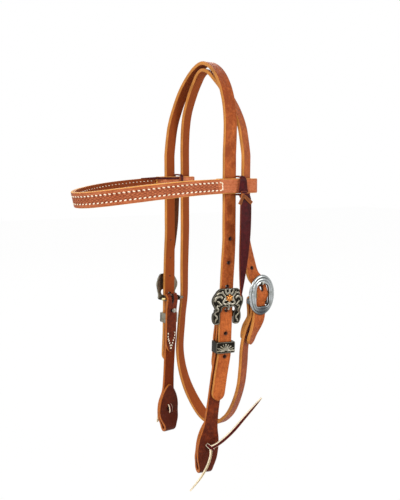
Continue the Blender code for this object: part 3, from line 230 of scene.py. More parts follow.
# Vegetable tanned leather, oiled and slicked: a waxy sheen over mottled, fibrous colour.
# Attributes give the distance from the cut edge in mm, the depth from the flesh side, stain, and
# tone: the hide's own uneven tone together with painted shade and light.
def leather(name, look):
    made, tree, shader, place = newMaterial(name)
    shader.inputs["Specular IOR Level"].default_value = look["shine"]
    dark, stained = linear(look["dark"]), linear(look["stain"])
    rim, skin, stain, tone = (
        addNode(tree, "Attribute", output="Fac", attribute_name=key)
        for key in ("rim", "skin", "stain", "tone")
    )
    mottle, blotch, fleshNoise = (
        addNode(tree, "TexNoise", {
            "Vector": place, "Scale": 1 / size, "Detail": detail, "Roughness": rough
        })
        for size, detail, rough in (
            (look["mottle"], 7.0, 0.72), (3.2 * mm, 3.0, 0.6), (2.5 * mm, 6.0, 0.7)
        )
    )
    mottle = addNode(tree, "MixRGB", {"Fac": 0.45, "Color1": mottle, "Color2": blotch})
    spread = addNode(
        tree, "MapRange", {"Value": mottle, "From Min": 0.39, "From Max": 0.61}, clamp=False
    )
    # tone lightens or darkens the mottle: partly painted shade and light
    spread = addNode(tree, "Math", {0: spread, 1: tone}, operation="ADD", use_clamp=True)
    # fibres run lengthwise
    strapMap = addNode(tree, "UVMap", output="UV", uv_map="strap")
    stretched = addNode(
        tree, "Mapping", {"Vector": strapMap, "Scale": (1 / (1.1 * mm), 1 / (16 * mm), 1)}
    )
    fibre = addNode(tree, "TexNoise", {"Vector": stretched, "Scale": 1.0, "Detail": 4.0})
    fibreTone, cutTone = (
        addNode(tree, "MapRange", {
            "Value": fibre, "From Min": 0.3, "From Max": 0.7, "To Min": low, "To Max": high
        })
        for low, high in ((0.82, 1.14), (0.80, 1.12))
    )
    pebbles = addNode(
        tree, "TexVoronoi", {"Vector": place, "Scale": 1 / look["pebble"]}, "Distance",
        feature="DISTANCE_TO_EDGE",
    )
    pebble = addNode(tree, "MapRange", {"Value": pebbles, "From Max": 0.16})
    creaseTone = addNode(tree, "MapRange", {"Value": pebble, "To Min": 0.84, "To Max": 1.03})
    # a band beside the edge that oil and handling darken, the flesh side and the cut side
    band, under, side = (
        addNode(
            tree, "MapRange",
            {"Value": value, "From Min": start, "From Max": end, "To Max": most},
            interpolation_type="SMOOTHSTEP",
        )
        for value, start, end, most in (
            (rim, 3.2, 0.9, 0.30), (skin, 0.16, 0.02, 1.0), (rim, 0.75, 0.2, 1.0)
        )
    )
    flesh = addNode(
        tree, "MixRGB", {"Fac": fleshNoise, "Color1": dark, "Color2": linear(look["flesh"])}
    )
    cutSide = addNode(
        tree, "MixRGB", {"Fac": 1.0, "Color1": linear(look["cut"]), "Color2": cutTone},
        blend_type="MULTIPLY",
    )
    colour = addNode(
        tree, "MixRGB", {"Fac": spread, "Color1": dark, "Color2": linear(look["face"])}
    )
    for blend, share, other in (
        ("MULTIPLY", 1.0, fibreTone), ("MULTIPLY", 1.0, creaseTone), ("MIX", band, dark),
        ("MIX", stain, stained), ("MIX", under, flesh), ("MIX", side, cutSide),
    ):
        colour = addNode(
            tree, "MixRGB", {"Fac": share, "Color1": colour, "Color2": other}, blend_type=blend
        )
    tree.links.new(colour, shader.inputs["Base Color"])

    matt = addNode(tree, "MapRange", {"Value": under, "To Min": look["rough"], "To Max": 0.85})
    matt = addNode(tree, "Math", {0: fibre, 1: 0.22, 2: matt}, operation="MULTIPLY_ADD")
    matt = addNode(tree, "Math", {0: matt, 1: 0.11}, operation="SUBTRACT")
    tree.links.new(matt, shader.inputs["Roughness"])
    height = addNode(tree, "Math", {0: fibre, 1: 0.8, 2: pebble}, operation="MULTIPLY_ADD")
    height = addNode(
        tree, "Math", {0: fleshNoise, 1: under, 2: height}, operation="MULTIPLY_ADD"
    )
    bump = addNode(
        tree, "Bump", {"Height": height, "Strength": look["bump"], "Distance": 0.25 * mm}
    )
    tree.links.new(bump, shader.inputs["Normal"])
    return made


# Inside of a punched hole: near black as painted shade, and matt
def paintedShadeHoleWall():
    made, tree, shader, place = newMaterial("punched hole wall in painted shade")
    grain = addNode(tree, "TexNoise", {"Vector": place, "Scale": 1 / (1 * mm), "Detail": 3.0})
    colour = addNode(
        # near-black colours: painted shade inside the hole
        tree, "MixRGB", {"Fac": grain, "Color1": linear("1A0B06"), "Color2": linear("4A2110")}
    )
    tree.links.new(colour, shader.inputs["Base Color"])
    shader.inputs["Roughness"].default_value = 0.8
    return made


silverLook = {
    "bright": "AAA494",
    "recess": "221F1A",
    "warm": "766D55",
    "rough": 0.27,
    "from": 0.22,  # relief at which the buffing starts and is complete
    "to": 1.3,
}
# on the throat buckle the recess colour also serves as painted shade along the bottom, and the
# bright colour as painted reflection at the sides; the grooves' dark is the silver's own patina
ringLook = {
    "bright": "B9BDBE", "recess": "1B2026", "warm": "85887F", "rough": 0.16, "from": 0.2, "to": 1.1
}
backLook = dict(silverLook, bright="8E8878", warm="6F6858", rough=0.52)
nickelLook = dict(silverLook, bright="B5B1A6", warm="8C8878", recess="2B2924", rough=0.26)
copperLook = {
    "bright": "D9954E", "recess": "3A1A0A", "warm": "A9602C", "rough": 0.2, "from": 0.26, "to": 0.9
}
brassLook = dict(copperLook, bright="E6DCA2", warm="C9B873")


# Cast silver plate, blackened and then buffed: bright on the raised work, dark in the recesses.
# The relief attribute is 1 on what the buffing wheel reached; on the throat buckle it also carries
# painted reflection, lighter at the sides and darker at the bottom.
def metal(name, look, relief=True):
    made, tree, shader, place = newMaterial(name)
    shader.inputs["Metallic"].default_value = 1.0
    tarnish, scuffs = (
        addNode(tree, "TexNoise", {
            "Vector": place, "Scale": 1 / size, "Detail": detail, "Roughness": rough
        })
        for size, detail, rough in ((5 * mm, 6.0, 0.65), (0.7 * mm, 4.0, 0.7))
    )
    warmth = addNode(tree, "MapRange", {"Value": tarnish, "From Min": 0.42, "From Max": 0.72})
    colour = addNode(
        tree, "MixRGB",
        {"Fac": warmth, "Color1": linear(look["bright"]), "Color2": linear(look["warm"])},
    )
    rough = addNode(tree, "MapRange", {
        "Value": scuffs, "From Min": 0.3, "From Max": 0.7, "To Min": look["rough"] - 0.06,
        "To Max": look["rough"] + 0.1,
    })
    if relief:
        raised = addNode(tree, "Attribute", output="Fac", attribute_name="relief")
        worn = addNode(tree, "Math", {0: tarnish, 1: 0.35, 2: raised}, operation="MULTIPLY_ADD")
        buffedAndPaintedReflection = addNode(
            tree, "MapRange", {"Value": worn, "From Min": look["from"], "From Max": look["to"]},
            interpolation_type="SMOOTHSTEP",
        )
        colour = addNode(
            tree, "MixRGB", {"Fac": buffedAndPaintedReflection, "Color1": linear(look["recess"]), "Color2": colour}
        )
        dull = addNode(tree, "MapRange", {"Value": buffedAndPaintedReflection, "To Min": 0.55, "To Max": 0.0})
        rough = addNode(tree, "Math", {0: rough, 1: dull}, operation="MAXIMUM")
    tree.links.new(colour, shader.inputs["Base Color"])
    tree.links.new(rough, shader.inputs["Roughness"])
    bump = addNode(tree, "Bump", {"Height": scuffs, "Strength": 0.12, "Distance": 0.05 * mm})
    tree.links.new(bump, shader.inputs["Normal"])
    return made


# Waxed white linen thread, laid in two plies
def waxedThread():
    made, tree, shader, place = newMaterial("waxed linen thread")
    dirt = addNode(tree, "TexNoise", {"Vector": place, "Scale": 1 / (9 * mm), "Detail": 4.0})
    soiled = addNode(tree, "MapRange", {"Value": dirt, "From Min": 0.5, "From Max": 0.75})
    colour = addNode(
        tree, "MixRGB", {"Fac": soiled, "Color1": linear("EFE4CE"), "Color2": linear("CBB48E")}
    )
    tree.links.new(colour, shader.inputs["Base Color"])
    plies = addNode(
        tree, "TexWave", {"Vector": place, "Scale": 1 / (2.2 * mm), "Distortion": 1.0}, "Fac",
        bands_direction="DIAGONAL",
    )
    bump = addNode(tree, "Bump", {"Height": plies, "Strength": 0.3, "Distance": 0.1 * mm})
    tree.links.new(bump, shader.inputs["Normal"])
    shader.inputs["Roughness"].default_value = 0.6
    return made


harnessLeather = leather("russet harness leather", harnessLook)
bridleLeather = leather("tooled bridle leather", bridleLook)
liningLeather = leather("lining leather", liningLook)
oiledLeather = leather("oiled skirting leather", oiledLook)
latigoLeather = leather("burgundy latigo", latigoLook)
thongLeather = leather("latigo thong with raw edges", thongLook)
splitLeather = leather(
    "latigo cut through", dict(latigoLook, face="6E2E1A", dark="46160E", cut="A8622F")
)
holeWallShade = paintedShadeHoleWall()
castSilver = metal("antiqued cast silver", silverLook)
castBack = metal("unpolished back of the casting", backLook, relief=False)
ringSilver = metal("buffed stepped silver", ringLook)
bareNickel = metal("nickel plated steel", nickelLook, relief=False)
flowerCopper = metal("polished copper", copperLook)
barBrass = metal("bare brass where the plating has worn", brassLook)
thread = waxedThread()
print("materials ready")


# Routes that the straps follow

sizes = {
    "strapWidth": 16 * mm,
    "crownThickness": 4.5 * mm,
    "throatThickness": 4.2 * mm,
    "cheekThickness": 4.0 * mm,
    "archHalf": 71.5 * mm,
    "archHeight": 99 * mm,
    "archGap": 1.2 * mm,
    "archSink": 3.0 * mm,
    "nearCrownSet": -10.8 * mm,
    "offCrownSet": -12.8 * mm,
    "throatSet": 13 * mm,
    "offThroatSet": 9 * mm,
    "throatSpread": 69.5 * mm,
    "nearBarSet": -15.0 * mm,
    "offBarSet": -15.3 * mm,
    "nearBarDrop": 290.6 * mm,
    "offBarDrop": 294.9 * mm,
    "ringPlace": (31 * mm, -73.5 * mm, -280.5 * mm),
    "throatBottom": 448 * mm,
    "throatTail": 49.5 * mm,
    "throatChape": 44.5 * mm,
    "legSway": 15.5 * mm,
    "tailSpring": 2.2 * mm,  # how far the billet's tail stands off the leg
    "billetTail": 102.5 * mm,
    "bandHeight": 18 * mm,
    "bandThickness": 3 * mm,
    "bandDrop": 142.5 * mm,
    "bandReach": 168 * mm,
    "fit": 0.3 * mm,
    "play": 0.5 * mm,
    "billetLift": 1.2 * mm,
    "keeperBack": 1.0 * mm,
    "barRadius": 1.6 * mm,
    "plateTop": 31.5 * mm,
    "ringHeight": 48.4 * mm,
    "ringUp": 8.6 * mm,
    "windowHeight": 27 * mm,
}
nearCrownTurn, offCrownTurn, throatTurn = math.radians(5), math.radians(20), math.radians(28)
ringTurn = math.radians(3)


def held(share):
    return min(max(share, 0.0), 1.0)


# a share that starts and ends gently
def eased(share):
    return held(share) ** 2 * (3 - 2 * held(share))


# points of a smooth curve through the given ones, in any number of dimensions
def smoothThrough(points, step=0.5 * mm):
    p = np.array([list(point) for point in points], float)
    p = np.vstack([2 * p[0] - p[1], p, 2 * p[-1] - p[-2]])
    out = []
    for a, b, c, d in zip(p, p[1:], p[2:], p[3:]):
        gaps = [
            max(np.linalg.norm((v - u)[:3]) ** 0.5, 0.5 * mm) for u, v in ((a, b), (b, c), (c, d))
        ]
        one = (b - a) / gaps[0] - (c - a) / (gaps[0] + gaps[1]) + (c - b) / gaps[1]
        two = (c - b) / gaps[1] - (d - b) / (gaps[1] + gaps[2]) + (d - c) / gaps[2]
        one, two = one * gaps[1], two * gaps[1]
        count = max(2, int(np.linalg.norm((c - b)[:3]) / step))
        for t in np.linspace(0, 1, count, endpoint=False):
            out.append(
                (2 * t**3 - 3 * t**2 + 1) * b + (t**3 - 2 * t**2 + t) * one
                + (3 * t**2 - 2 * t**3) * c + (t**3 - t**2) * two
            )
    out.append(p[-2])
    return np.array(out)


# a line with the direction of the strap's width at each point
class StrapLine:
    def __init__(self, points):
        dense = smoothThrough([list(place) + list(side) for place, side in points])
        self.places, sides = dense[:, :3], dense[:, 3:]
        gaps = np.linalg.norm(np.diff(self.places, axis=0), axis=1)
        self.along = np.concatenate([[0], np.cumsum(gaps)])
        self.tangents = np.gradient(self.places, self.along, axis=0)
        self.tangents /= np.linalg.norm(self.tangents, axis=1)[:, None]
        sides = sides - (sides * self.tangents).sum(axis=1)[:, None] * self.tangents
        self.sides = sides / np.linalg.norm(sides, axis=1)[:, None]
        self.normals = np.cross(self.sides, self.tangents)
        self.length = float(self.along[-1])

    def read(self, along, table):
        return np.column_stack([np.interp(along, self.along, table[:, i]) for i in range(3)])

    # bends flat points (across, along, out) onto the line
    def lay(self, flat, start=0.0, out=0.0):
        along = flat[:, 1] + start
        return (
            self.read(along, self.places)
            + self.read(along, self.sides) * flat[:, :1]
            + self.read(along, self.normals) * (flat[:, 2:3] + out)
        )

    # the turn and place of something small that sits on the strap
    def seat(self, across, along, out):
        here = np.array([along])
        side, tangent, normal = (
            Vector(self.read(here, table)[0]).normalized()
            for table in (self.sides, self.tangents, self.normals)
        )
        spot = Vector(self.lay(np.array([[across, along, out]]))[0])
        turn = Matrix((side, tangent, normal)).transposed().to_4x4()
        return Matrix.Translation(spot) @ turn

    def nearest(self, spot):
        return float(self.along[np.argmin(np.linalg.norm(self.places - np.array(spot), axis=1))])


# axes on one side of the head: x along the width, -y outwards and z up the strap
def sideFrame(x, y, z, turn, lean=0.0):
    turned = Matrix.Rotation(turn, 4, "Z") @ Matrix.Rotation(lean, 4, "Y")
    return Matrix.Translation((x, y, z)) @ turned


def turnedSide(turn):
    return Vector((math.cos(turn), math.sin(turn), 0))


nearSide = sideFrame(
    sizes["nearBarSet"], -sizes["archHalf"], -sizes["nearBarDrop"], math.radians(-6),
    math.radians(2),
)
offSide = sideFrame(
    sizes["offBarSet"], sizes["archHalf"], -sizes["offBarDrop"], math.pi + math.radians(8),
    math.radians(-1.5),
)
ringSide = sideFrame(*sizes["ringPlace"], ringTurn)

# depths of the layers behind the billet's middle
halfCheek, halfThroat = sizes["cheekThickness"] / 2, sizes["throatThickness"] / 2
cheekOuter = sizes["crownThickness"] / 2 + sizes["billetLift"] + halfCheek
cheekBar = cheekOuter + halfCheek + sizes["fit"] + sizes["barRadius"]
cheekInner = cheekBar + sizes["barRadius"] + sizes["fit"] + halfCheek
cheekSewn = cheekOuter + 2 * halfCheek + sizes["fit"]
cheekOpen = cheekOuter + 2 * halfCheek + sizes["keeperBack"] + 2 * sizes["fit"]
throatOuter = 2 * halfThroat + sizes["billetLift"]
throatBar = throatOuter + halfThroat + sizes["fit"] + sizes["barRadius"]
throatInner = throatBar + sizes["barRadius"] + sizes["fit"] + halfThroat
throatSewn = throatOuter + 2 * halfThroat + sizes["fit"]

cheekSet = {
    "length": 193.4 * mm,
    "chape": 72 * mm,
    "open": 47.5 * mm,
    "swayFrom": 47.5 * mm,
    "nearSway": 15 * mm,
    "offSway": 4.8 * mm,
    "nearLean": -1.6 * mm,  # how far the cheek strap lies beside the crown strap's billet
    "offLean": 3.4 * mm,
    "leanFrom": 14 * mm,  # where the near lean starts under the bar, and over what length
    "leanOver": 20 * mm,
    "closeFrom": 75 * mm,  # and where the off strap's plies come together again
    "closeOver": 50 * mm,
    "rivetDrop": 16 * mm,
    "rivetHole": 2.0 * mm,
    "laceHole": 2.4 * mm,
    "slotStretch": 5.5,
    "bore": 6.5 * mm,
    "offShare": 0.933,
    "flareShare": 0.62,
    "tabShare": 0.65,
    "laceShare": 0.83,
    "endWidth": 27 * mm,
    "offEndWidth": 30 * mm,
    "foldWidth": 17.5 * mm,
    "tip": 15 * mm,
    "stitch": (1.7 * mm, 2.9 * mm, 1.1 * mm),
}


def barFold(depth, radius, steps=6):
    turns = (math.pi * i / steps for i in range(steps + 1))
    return [(depth + radius * math.cos(a), radius * math.sin(a)) for a in turns]


# how far a cheek has swayed at a height of its frame
def nearSway(height):
    reach = cheekSet["length"] - cheekSet["swayFrom"]
    share = max(0.0, (-height - cheekSet["swayFrom"]) / reach)
    return -cheekSet["nearSway"] * (share + 0.35 * share * (1 - share))


def offSway(height):
    reach = cheekSet["length"] - cheekSet["swayFrom"]
    return cheekSet["offSway"] * max(0.0, (-height - cheekSet["swayFrom"]) / reach)


# the cheek straps don't lie quite behind their billets; a clear step at the near one's top, and
# the off one's inner ply more than its outer
def nearLean(depth, height):
    return cheekSet["nearLean"] * eased((-height - cheekSet["leanFrom"]) / cheekSet["leanOver"])


def offLean(depth, height):
    low = eased((-height - cheekSet["closeFrom"]) / cheekSet["closeOver"])
    inward = held((depth - cheekOuter) / (cheekOpen - cheekOuter))
    return cheekSet["offLean"] * inward * (1 - 0.65 * low)


straightTop = sizes["archHeight"] + sizes["bandHeight"] / 2
straightEnd = sizes["nearBarDrop"] * 2 / 3
archSteps = 12


def archPoint(i, inset, nearSet, offSet, narrow):
    a = math.pi * i / archSteps
    fall = 1 - math.sin(a)
    setHere = nearSet if i * 2 < archSteps else offSet
    across = math.copysign(abs(math.cos(a)) ** narrow, math.cos(a))
    return Vector(
        (
            setHere * fall,
            -(sizes["archHalf"] - inset) * across,
            sizes["crownThickness"] / 2 - inset - sizes["archHeight"] * fall,
        )
    )


def crownLine():
    nearWidth, offWidth = nearSide.to_3x3() @ xAxis, -(offSide.to_3x3() @ xAxis)
    nearTurn, offTurn = turnedSide(nearCrownTurn), turnedSide(offCrownTurn)
    low, half = cheekSet["swayFrom"], sizes["bandHeight"] / 2
    tail = sizes["billetTail"]
    heights = [-tail, -tail * 0.7, -low, -low * 0.9, 0, sizes["plateTop"]]
    points = [(nearSide @ Vector((nearSway(z), 0, z)), nearWidth) for z in heights]
    for drop in (straightEnd + half, straightEnd, straightTop + mm, straightTop):
        place = Vector((sizes["nearCrownSet"], -sizes["archHalf"], -drop))
        points.append((place, nearTurn))
    for i in range(1, archSteps):
        place = archPoint(i, 0, sizes["nearCrownSet"], sizes["offCrownSet"], 1.15)
        points.append((place, nearTurn.lerp(offTurn, i / archSteps)))
    for drop in (straightTop, straightTop + mm, straightEnd, straightEnd + half):
        place = Vector((sizes["offCrownSet"], sizes["archHalf"], -drop))
        points.append((place, offTurn))
    tail *= 0.84
    heights[:2] = [-tail, -tail * 0.7]
    points += [(offSide @ Vector((offSway(z), 0, z)), offWidth) for z in reversed(heights)]
    return StrapLine(points)


# how wide the throatlatch's arch is at each step down from its top
archShares = (1.0, 0.95, 0.81, 0.588, 0.36, 0.176, 0.0)
legSways = ((0, 0), (0.3, 0.0), (0.45, 0.3), (0.65, 0.72), (0.9, 0.97), (1.1, 1.0))
legLength = 55 * mm


# a point of the throatlatch's near leg below its buckle
def legPlace(share, depth):
    sway = np.interp(share, *zip(*legSways))
    turn = ringTurn + (throatTurn - ringTurn) * min(sway * 1.3, 1)
    middle = ringSide @ Vector((-sizes["legSway"] * sway, 0, -legLength * share))
    side = turnedSide(turn)
    return middle + side.cross(-zAxis) * depth, side


throatLoop = (
    (1.05, -0.95, 0.80, 1.0), (1.10, -0.86, 0.86, 1.0), (1.10, -0.70, 0.915, 0.9),
    (1.05, -0.46, 0.965, 0.6), (0.85, -0.14, 0.998, 0.2), (0.60, 0.20, 0.995, 0.0),
    (0.30, 0.55, 0.957, 0.5), (0.00, 0.80, 0.90, 1.0), (0.00, 0.98, 0.83, 1.2),
    (0.48, 1.08, 0.735, 1.2), (0.81, 1.09, 0.66, 1.2), (0.74, 1.05, 0.56, 1.1),
)


def throatLine():
    side, ringWidth = turnedSide(throatTurn), ringSide.to_3x3() @ xAxis
    up, fit = sizes["ringUp"], sizes["fit"]
    tailShare = sizes["throatTail"] / legLength
    tail = ((1, 0.3), (0.8, 0.8), (0.62, 1), (0.46, 0.7), (0.3, 0))
    points = [legPlace(tailShare * share, -sizes["tailSpring"] * lift) for share, lift in tail]
    points.append((ringSide @ Vector((0, 0, 0)), ringWidth))
    # the billet swells out through the buckle's window
    for across, lift, height in (
        (1.2, 1.1, 3.6), (2.2, 2.1, 8.6), (1.9, 1.3, 13.4), (0.9, 0.1, 18.4)
    ):
        points.append((ringSide @ Vector((across * mm, -lift * mm, height * mm)), ringWidth))
    points.append((ringSide @ Vector((0, fit, up + sizes["windowHeight"] / 2)), ringWidth))
    points.append((ringSide @ Vector((-up * 1.1, fit, up + sizes["ringHeight"] / 2)), ringWidth))
    spread, half = sizes["throatSpread"], sizes["bandHeight"] / 2
    low = sizes["nearBarDrop"] * 0.79
    points.append(
        (
            Vector((sizes["throatSet"] * 1.37, -spread * 1.02, -low)),
            turnedSide((throatTurn + ringTurn) / 2),
        )
    )
    for drop in (straightEnd + half, straightEnd, straightTop + mm, straightTop):
        points.append((Vector((sizes["throatSet"], -spread, -drop)), side))
    under = sizes["crownThickness"] / 2 + sizes["archGap"] + halfThroat
    for i in range(1, archSteps):
        fall = 1 - math.sin(math.pi * i / archSteps)
        sunk = under + sizes["archSink"] * (1 - fall) ** 4
        place = archPoint(i, sunk, sizes["throatSet"], sizes["offThroatSet"], 1.0)
        across = math.copysign(archShares[min(i, archSteps - i)], -place.y)
        place.y = -(sizes["archHalf"] - sunk) * across * (1 + 0.05 * fall**3)
        if i * 2 < archSteps:
            place.x *= 1 + 0.25 * math.sin(math.pi * fall)
        points.append((place, side))
    for drop in (straightTop, straightTop + mm, straightEnd, straightEnd + half):
        points.append((Vector((sizes["offThroatSet"], spread, -drop)), side))
    for setShare, spreadShare, dropShare, turnShare in reversed(throatLoop):
        place = Vector((
            sizes["throatSet"] * setShare, spread * spreadShare,
            -sizes["throatBottom"] * dropShare,
        ))
        points.append((place, turnedSide(throatTurn * turnShare)))
    points += [legPlace(share, throatOuter) for share in (0.9, 0.62, 0.35, 0.18)]
    over = [
        (ringSide @ Vector((0, depth, height)), ringWidth)
        for depth, height in barFold(throatBar, throatInner - throatBar)
    ]
    points += reversed(over)
    chapeShare = sizes["throatChape"] / legLength
    points += [legPlace(share, throatSewn) for share in (0.35, 0.55, chapeShare)]
    return StrapLine(points)


# from the chape's tip inside, over the bar, down the outside, round the bit and up the tab
def cheekLine(side, sway, lean, share):
    width = -(side.to_3x3() @ xAxis)
    length, chape, opened = cheekSet["length"] * share, cheekSet["chape"], cheekSet["open"]
    bore = (cheekSet["bore"] + sizes["cheekThickness"]) / 2
    foldUp = length - halfCheek - bore
    lace = length * cheekSet["laceShare"]
    line = [(cheekSewn, -chape * part) for part in (1, 0.88, 0.76)]
    line += [(cheekOpen, -opened * part) for part in (1, 0.9, 0.6, 0.4, 0.3)]
    line += barFold(cheekBar, cheekInner - cheekBar)
    line += [(cheekOuter, -chape * part) for part in (0.25, 0.6, 0.68, 0.8, 1, 1.3)]
    line += [(cheekOuter, -lace * part) for part in (0.8, 1)]
    for i in range(7):
        a = math.pi * i / 6
        line.append((cheekOuter + bore * (1 - math.cos(a)), -foldUp - bore * math.sin(a)))
    line += [(cheekSewn, -lace * part) for part in (1.035, 0.97, 0.9)]
    line.append((cheekSewn, -length * cheekSet["tabShare"]))
    return StrapLine([
        (side @ Vector((sway(height) + lean(depth, height), depth, height)), width)
        for depth, height in line
    ])


def halfDepth(turn, thickness):
    return sizes["strapWidth"] / 2 * math.sin(turn) + thickness / 2 * math.cos(turn)


band = sizes["bandThickness"]
bandOut = (
    sizes["archHalf"] + halfDepth(offCrownTurn, sizes["crownThickness"]) + sizes["play"] + band / 2
)
loopIn = (
    sizes["throatSpread"] - halfDepth(throatTurn, sizes["throatThickness"]) - sizes["play"]
    - band / 2
)
crownIn = (
    sizes["archHalf"] - halfDepth(offCrownTurn, sizes["crownThickness"]) - sizes["play"] - band / 2
)
seamSet, bandSag, bandRoll = -30 * mm, 15.5 * mm, math.radians(12)
armShares = (
    (-0.20, 1.0), (-0.36, 0.99), (-0.56, 0.93), (-0.74, 0.78), (-0.885, 0.54), (-0.97, 0.27)
)


# one side of the browband, from the seam inside, round the straps and forward to the middle
def bandHalf(towards, throatSet, power):
    back = throatSet + 3.9 * mm
    front = sizes["offCrownSet"] - sizes["strapWidth"] / 2 - sizes["play"]
    fold = (bandOut - loopIn) / 2
    sewn = bandOut - band - sizes["fit"]
    line = [(seamSet, sewn, 0), (seamSet * 0.93, sewn, 0), (front - mm, crownIn, 0)]
    line += [(front + 3 * mm, crownIn - mm / 2, 0), (back * 0.6, loopIn, 0)]
    for i in range(7):
        a = math.pi * i / 6
        line.append((back + fold * math.sin(a), loopIn + fold * (1 - math.cos(a)), 0))
    line += [(0, bandOut, 0), (front, bandOut, 0)]
    line += [(x * sizes["bandReach"], y * bandOut, (-x) ** power) for x, y in armShares]
    points = []
    for x, y, share in line:
        roll = bandRoll * min(share * 3, 1)
        side = Vector((0, towards * math.sin(roll), math.cos(roll)))
        if share > 0:
            ahead = Vector((-share, towards * (1 - share), 0)).normalized()
            side = ahead * math.sin(roll) + zAxis * math.cos(roll)
        points.append((Vector((x, towards * y, -sizes["bandDrop"] - bandSag * share)), side))
    return points


def bandLine():
    near = bandHalf(-1, sizes["throatSet"], 2.2)
    off = bandHalf(1, sizes["offThroatSet"], 1.5)
    side = Vector((-math.sin(bandRoll), 0, math.cos(bandRoll)))
    middle = (Vector((-sizes["bandReach"], 0, -sizes["bandDrop"] - bandSag)), side)
    return StrapLine([*near, middle, *reversed(off)])


# Flat leather, cut, punched and bent

# once round a strap's section: shares of the half width and half thickness, and the place on
# the rounded corner
def sectionTable(shares, steps=2):
    table = [(s, 0.0, 1.0, 1.0) for s in shares]
    for sideWay, upWay, first in ((1, 1, 90), (1, -1, 0)):
        for i in range(steps + 1):
            a = math.radians(first - 90 * i / steps)
            table.append((sideWay, math.cos(a), upWay, math.sin(a)))
    table += [(s, 0.0, -1.0, -1.0) for s in reversed(shares)]
    for sideWay, upWay, first in ((-1, -1, -90), (-1, 1, 180)):
        for i in range(steps + 1):
            a = math.radians(first - 90 * i / steps)
            table.append((sideWay, math.cos(a), upWay, math.sin(a)))
    return np.array([row for i, row in enumerate(table) if i == 0 or row != table[i - 1]])


def roundTip(length, half, points=9):
    turns = [math.pi / 2 * i / points for i in range(points + 1)]
    return [(length * (1 - math.cos(a)), half * math.sin(a)) for a in turns]


# both ends of a strap of one width
def strapOutline(length, half, startTip, endTip):
    end = [(length - along, width) for along, width in reversed(roundTip(endTip, half))]
    return roundTip(startTip, half) + end


faceShares = (-1, -0.9, -0.7, -0.4, 0, 0.4, 0.7, 0.9, 1)


# a flat strap from (along, half width) stations, as a closed tube of quads
def flatStrap(plan):
    stations = plan["outline"]
    marks = [a for a, _ in stations]
    if plan.get("smooth"):
        dense = smoothThrough([(a, h, 0.0) for a, h in stations])
        knots, halves = dense[:, 0], np.maximum(dense[:, 1], 0)
        first, last, near = marks[0], marks[-1], 0.3 * mm
        marks = [first, last]
        marks += [first + near * i for i in (1, 3, 5)] + [last - near * i for i in (1, 3, 5)]
    else:
        knots, halves = np.array(marks), np.array([h for _, h in stations])
    spacing = plan["spacing"]
    stops = [
        stop for stop in np.arange(knots[0], knots[-1], spacing)
        if min(abs(stop - mark) for mark in marks) > spacing * 0.35
    ]
    stops = np.array(sorted(set(marks + stops)))
    half = np.interp(stops, knots, halves)
    table = sectionTable(plan.get("shares", faceShares))
    columns, rows = len(table) - 1, len(stops) - 1
    work = bmesh.new()
    bmesh.ops.create_grid(work, x_segments=columns, y_segments=rows, size=1)
    for vert in work.verts:
        c, r = round((vert.co.x + 1) / 2 * columns), round((vert.co.y + 1) / 2 * rows)
        across, bendX, up, bendZ = table[c]
        corner = min(plan["edge"], half[r])
        vert.co = (
            across * (half[r] - corner) + bendX * corner,
            stops[r],
            up * (plan["thickness"] / 2 - corner) + bendZ * corner,
        )
    bmesh.ops.remove_doubles(work, verts=work.verts, dist=0.002 * mm)
    openEnds = [edge for edge in work.edges if edge.is_boundary]
    if openEnds:
        bmesh.ops.holes_fill(work, edges=openEnds, sides=0)
    bmesh.ops.recalc_face_normals(work, faces=work.faces)
    mesh = bpy.data.meshes.new("flat")
    work.to_mesh(mesh)
    work.free()
    return mesh, knots, halves


# punches round or long holes with a slightly broken rim; a hole is across, along, radius, stretch
# and the share of its radius that is left on the flesh side
def punch(mesh, holes, thickness):
    mesh.materials.append(None)
    work = bmesh.new()
    deep = thickness / 2
    for across, along, radius, stretch, share in holes:
        far = radius * share
        profile = (
            (0, deep + mm), (radius + 1.3 * mm, deep + mm), (radius, deep - 0.35 * mm),
            (far, 0.35 * mm - deep), (far + 1.3 * mm, -deep - mm), (0, -deep - mm),
        )
        line = [work.verts.new((r, 0, z)) for r, z in profile]
        edges = [work.edges.new(pair) for pair in zip(line, line[1:])]
        bmesh.ops.spin(
            work, geom=line + edges, axis=(0, 0, 1), cent=(0, 0, 0), steps=20,
            angle=2 * math.pi, use_merge=True,
        )
        done = {v for v in work.verts if not v.tag}
        for vert in done:
            vert.co.y *= stretch
            vert.co += Vector((across, along, 0))
            vert.tag = True
    bmesh.ops.remove_doubles(work, verts=work.verts, dist=0.001 * mm)
    bmesh.ops.recalc_face_normals(work, faces=work.faces)
    cutter = meshObject("cutter", work)
    cutter.data.materials.append(holeWallShade)
    blank = bpy.data.objects.new("blank", mesh)
    bpy.context.scene.collection.objects.link(blank)
    step = blank.modifiers.new("punch", "BOOLEAN")
    step.operation, step.solver, step.object = "DIFFERENCE", "EXACT", cutter
    step.material_mode = "TRANSFER"
    bpy.context.view_layer.update()
    graph = bpy.context.evaluated_depsgraph_get()
    cut = bpy.data.meshes.new_from_object(blank.evaluated_get(graph))
    bpy.data.objects.remove(blank)
    bpy.data.objects.remove(cutter)
    return cut


# attaches a finished piece to what carries it, and hides the solids that it stands for
def addPiece(made, body, replaced=()):
    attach(made, body)
    if replaced:
        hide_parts(*replaced)


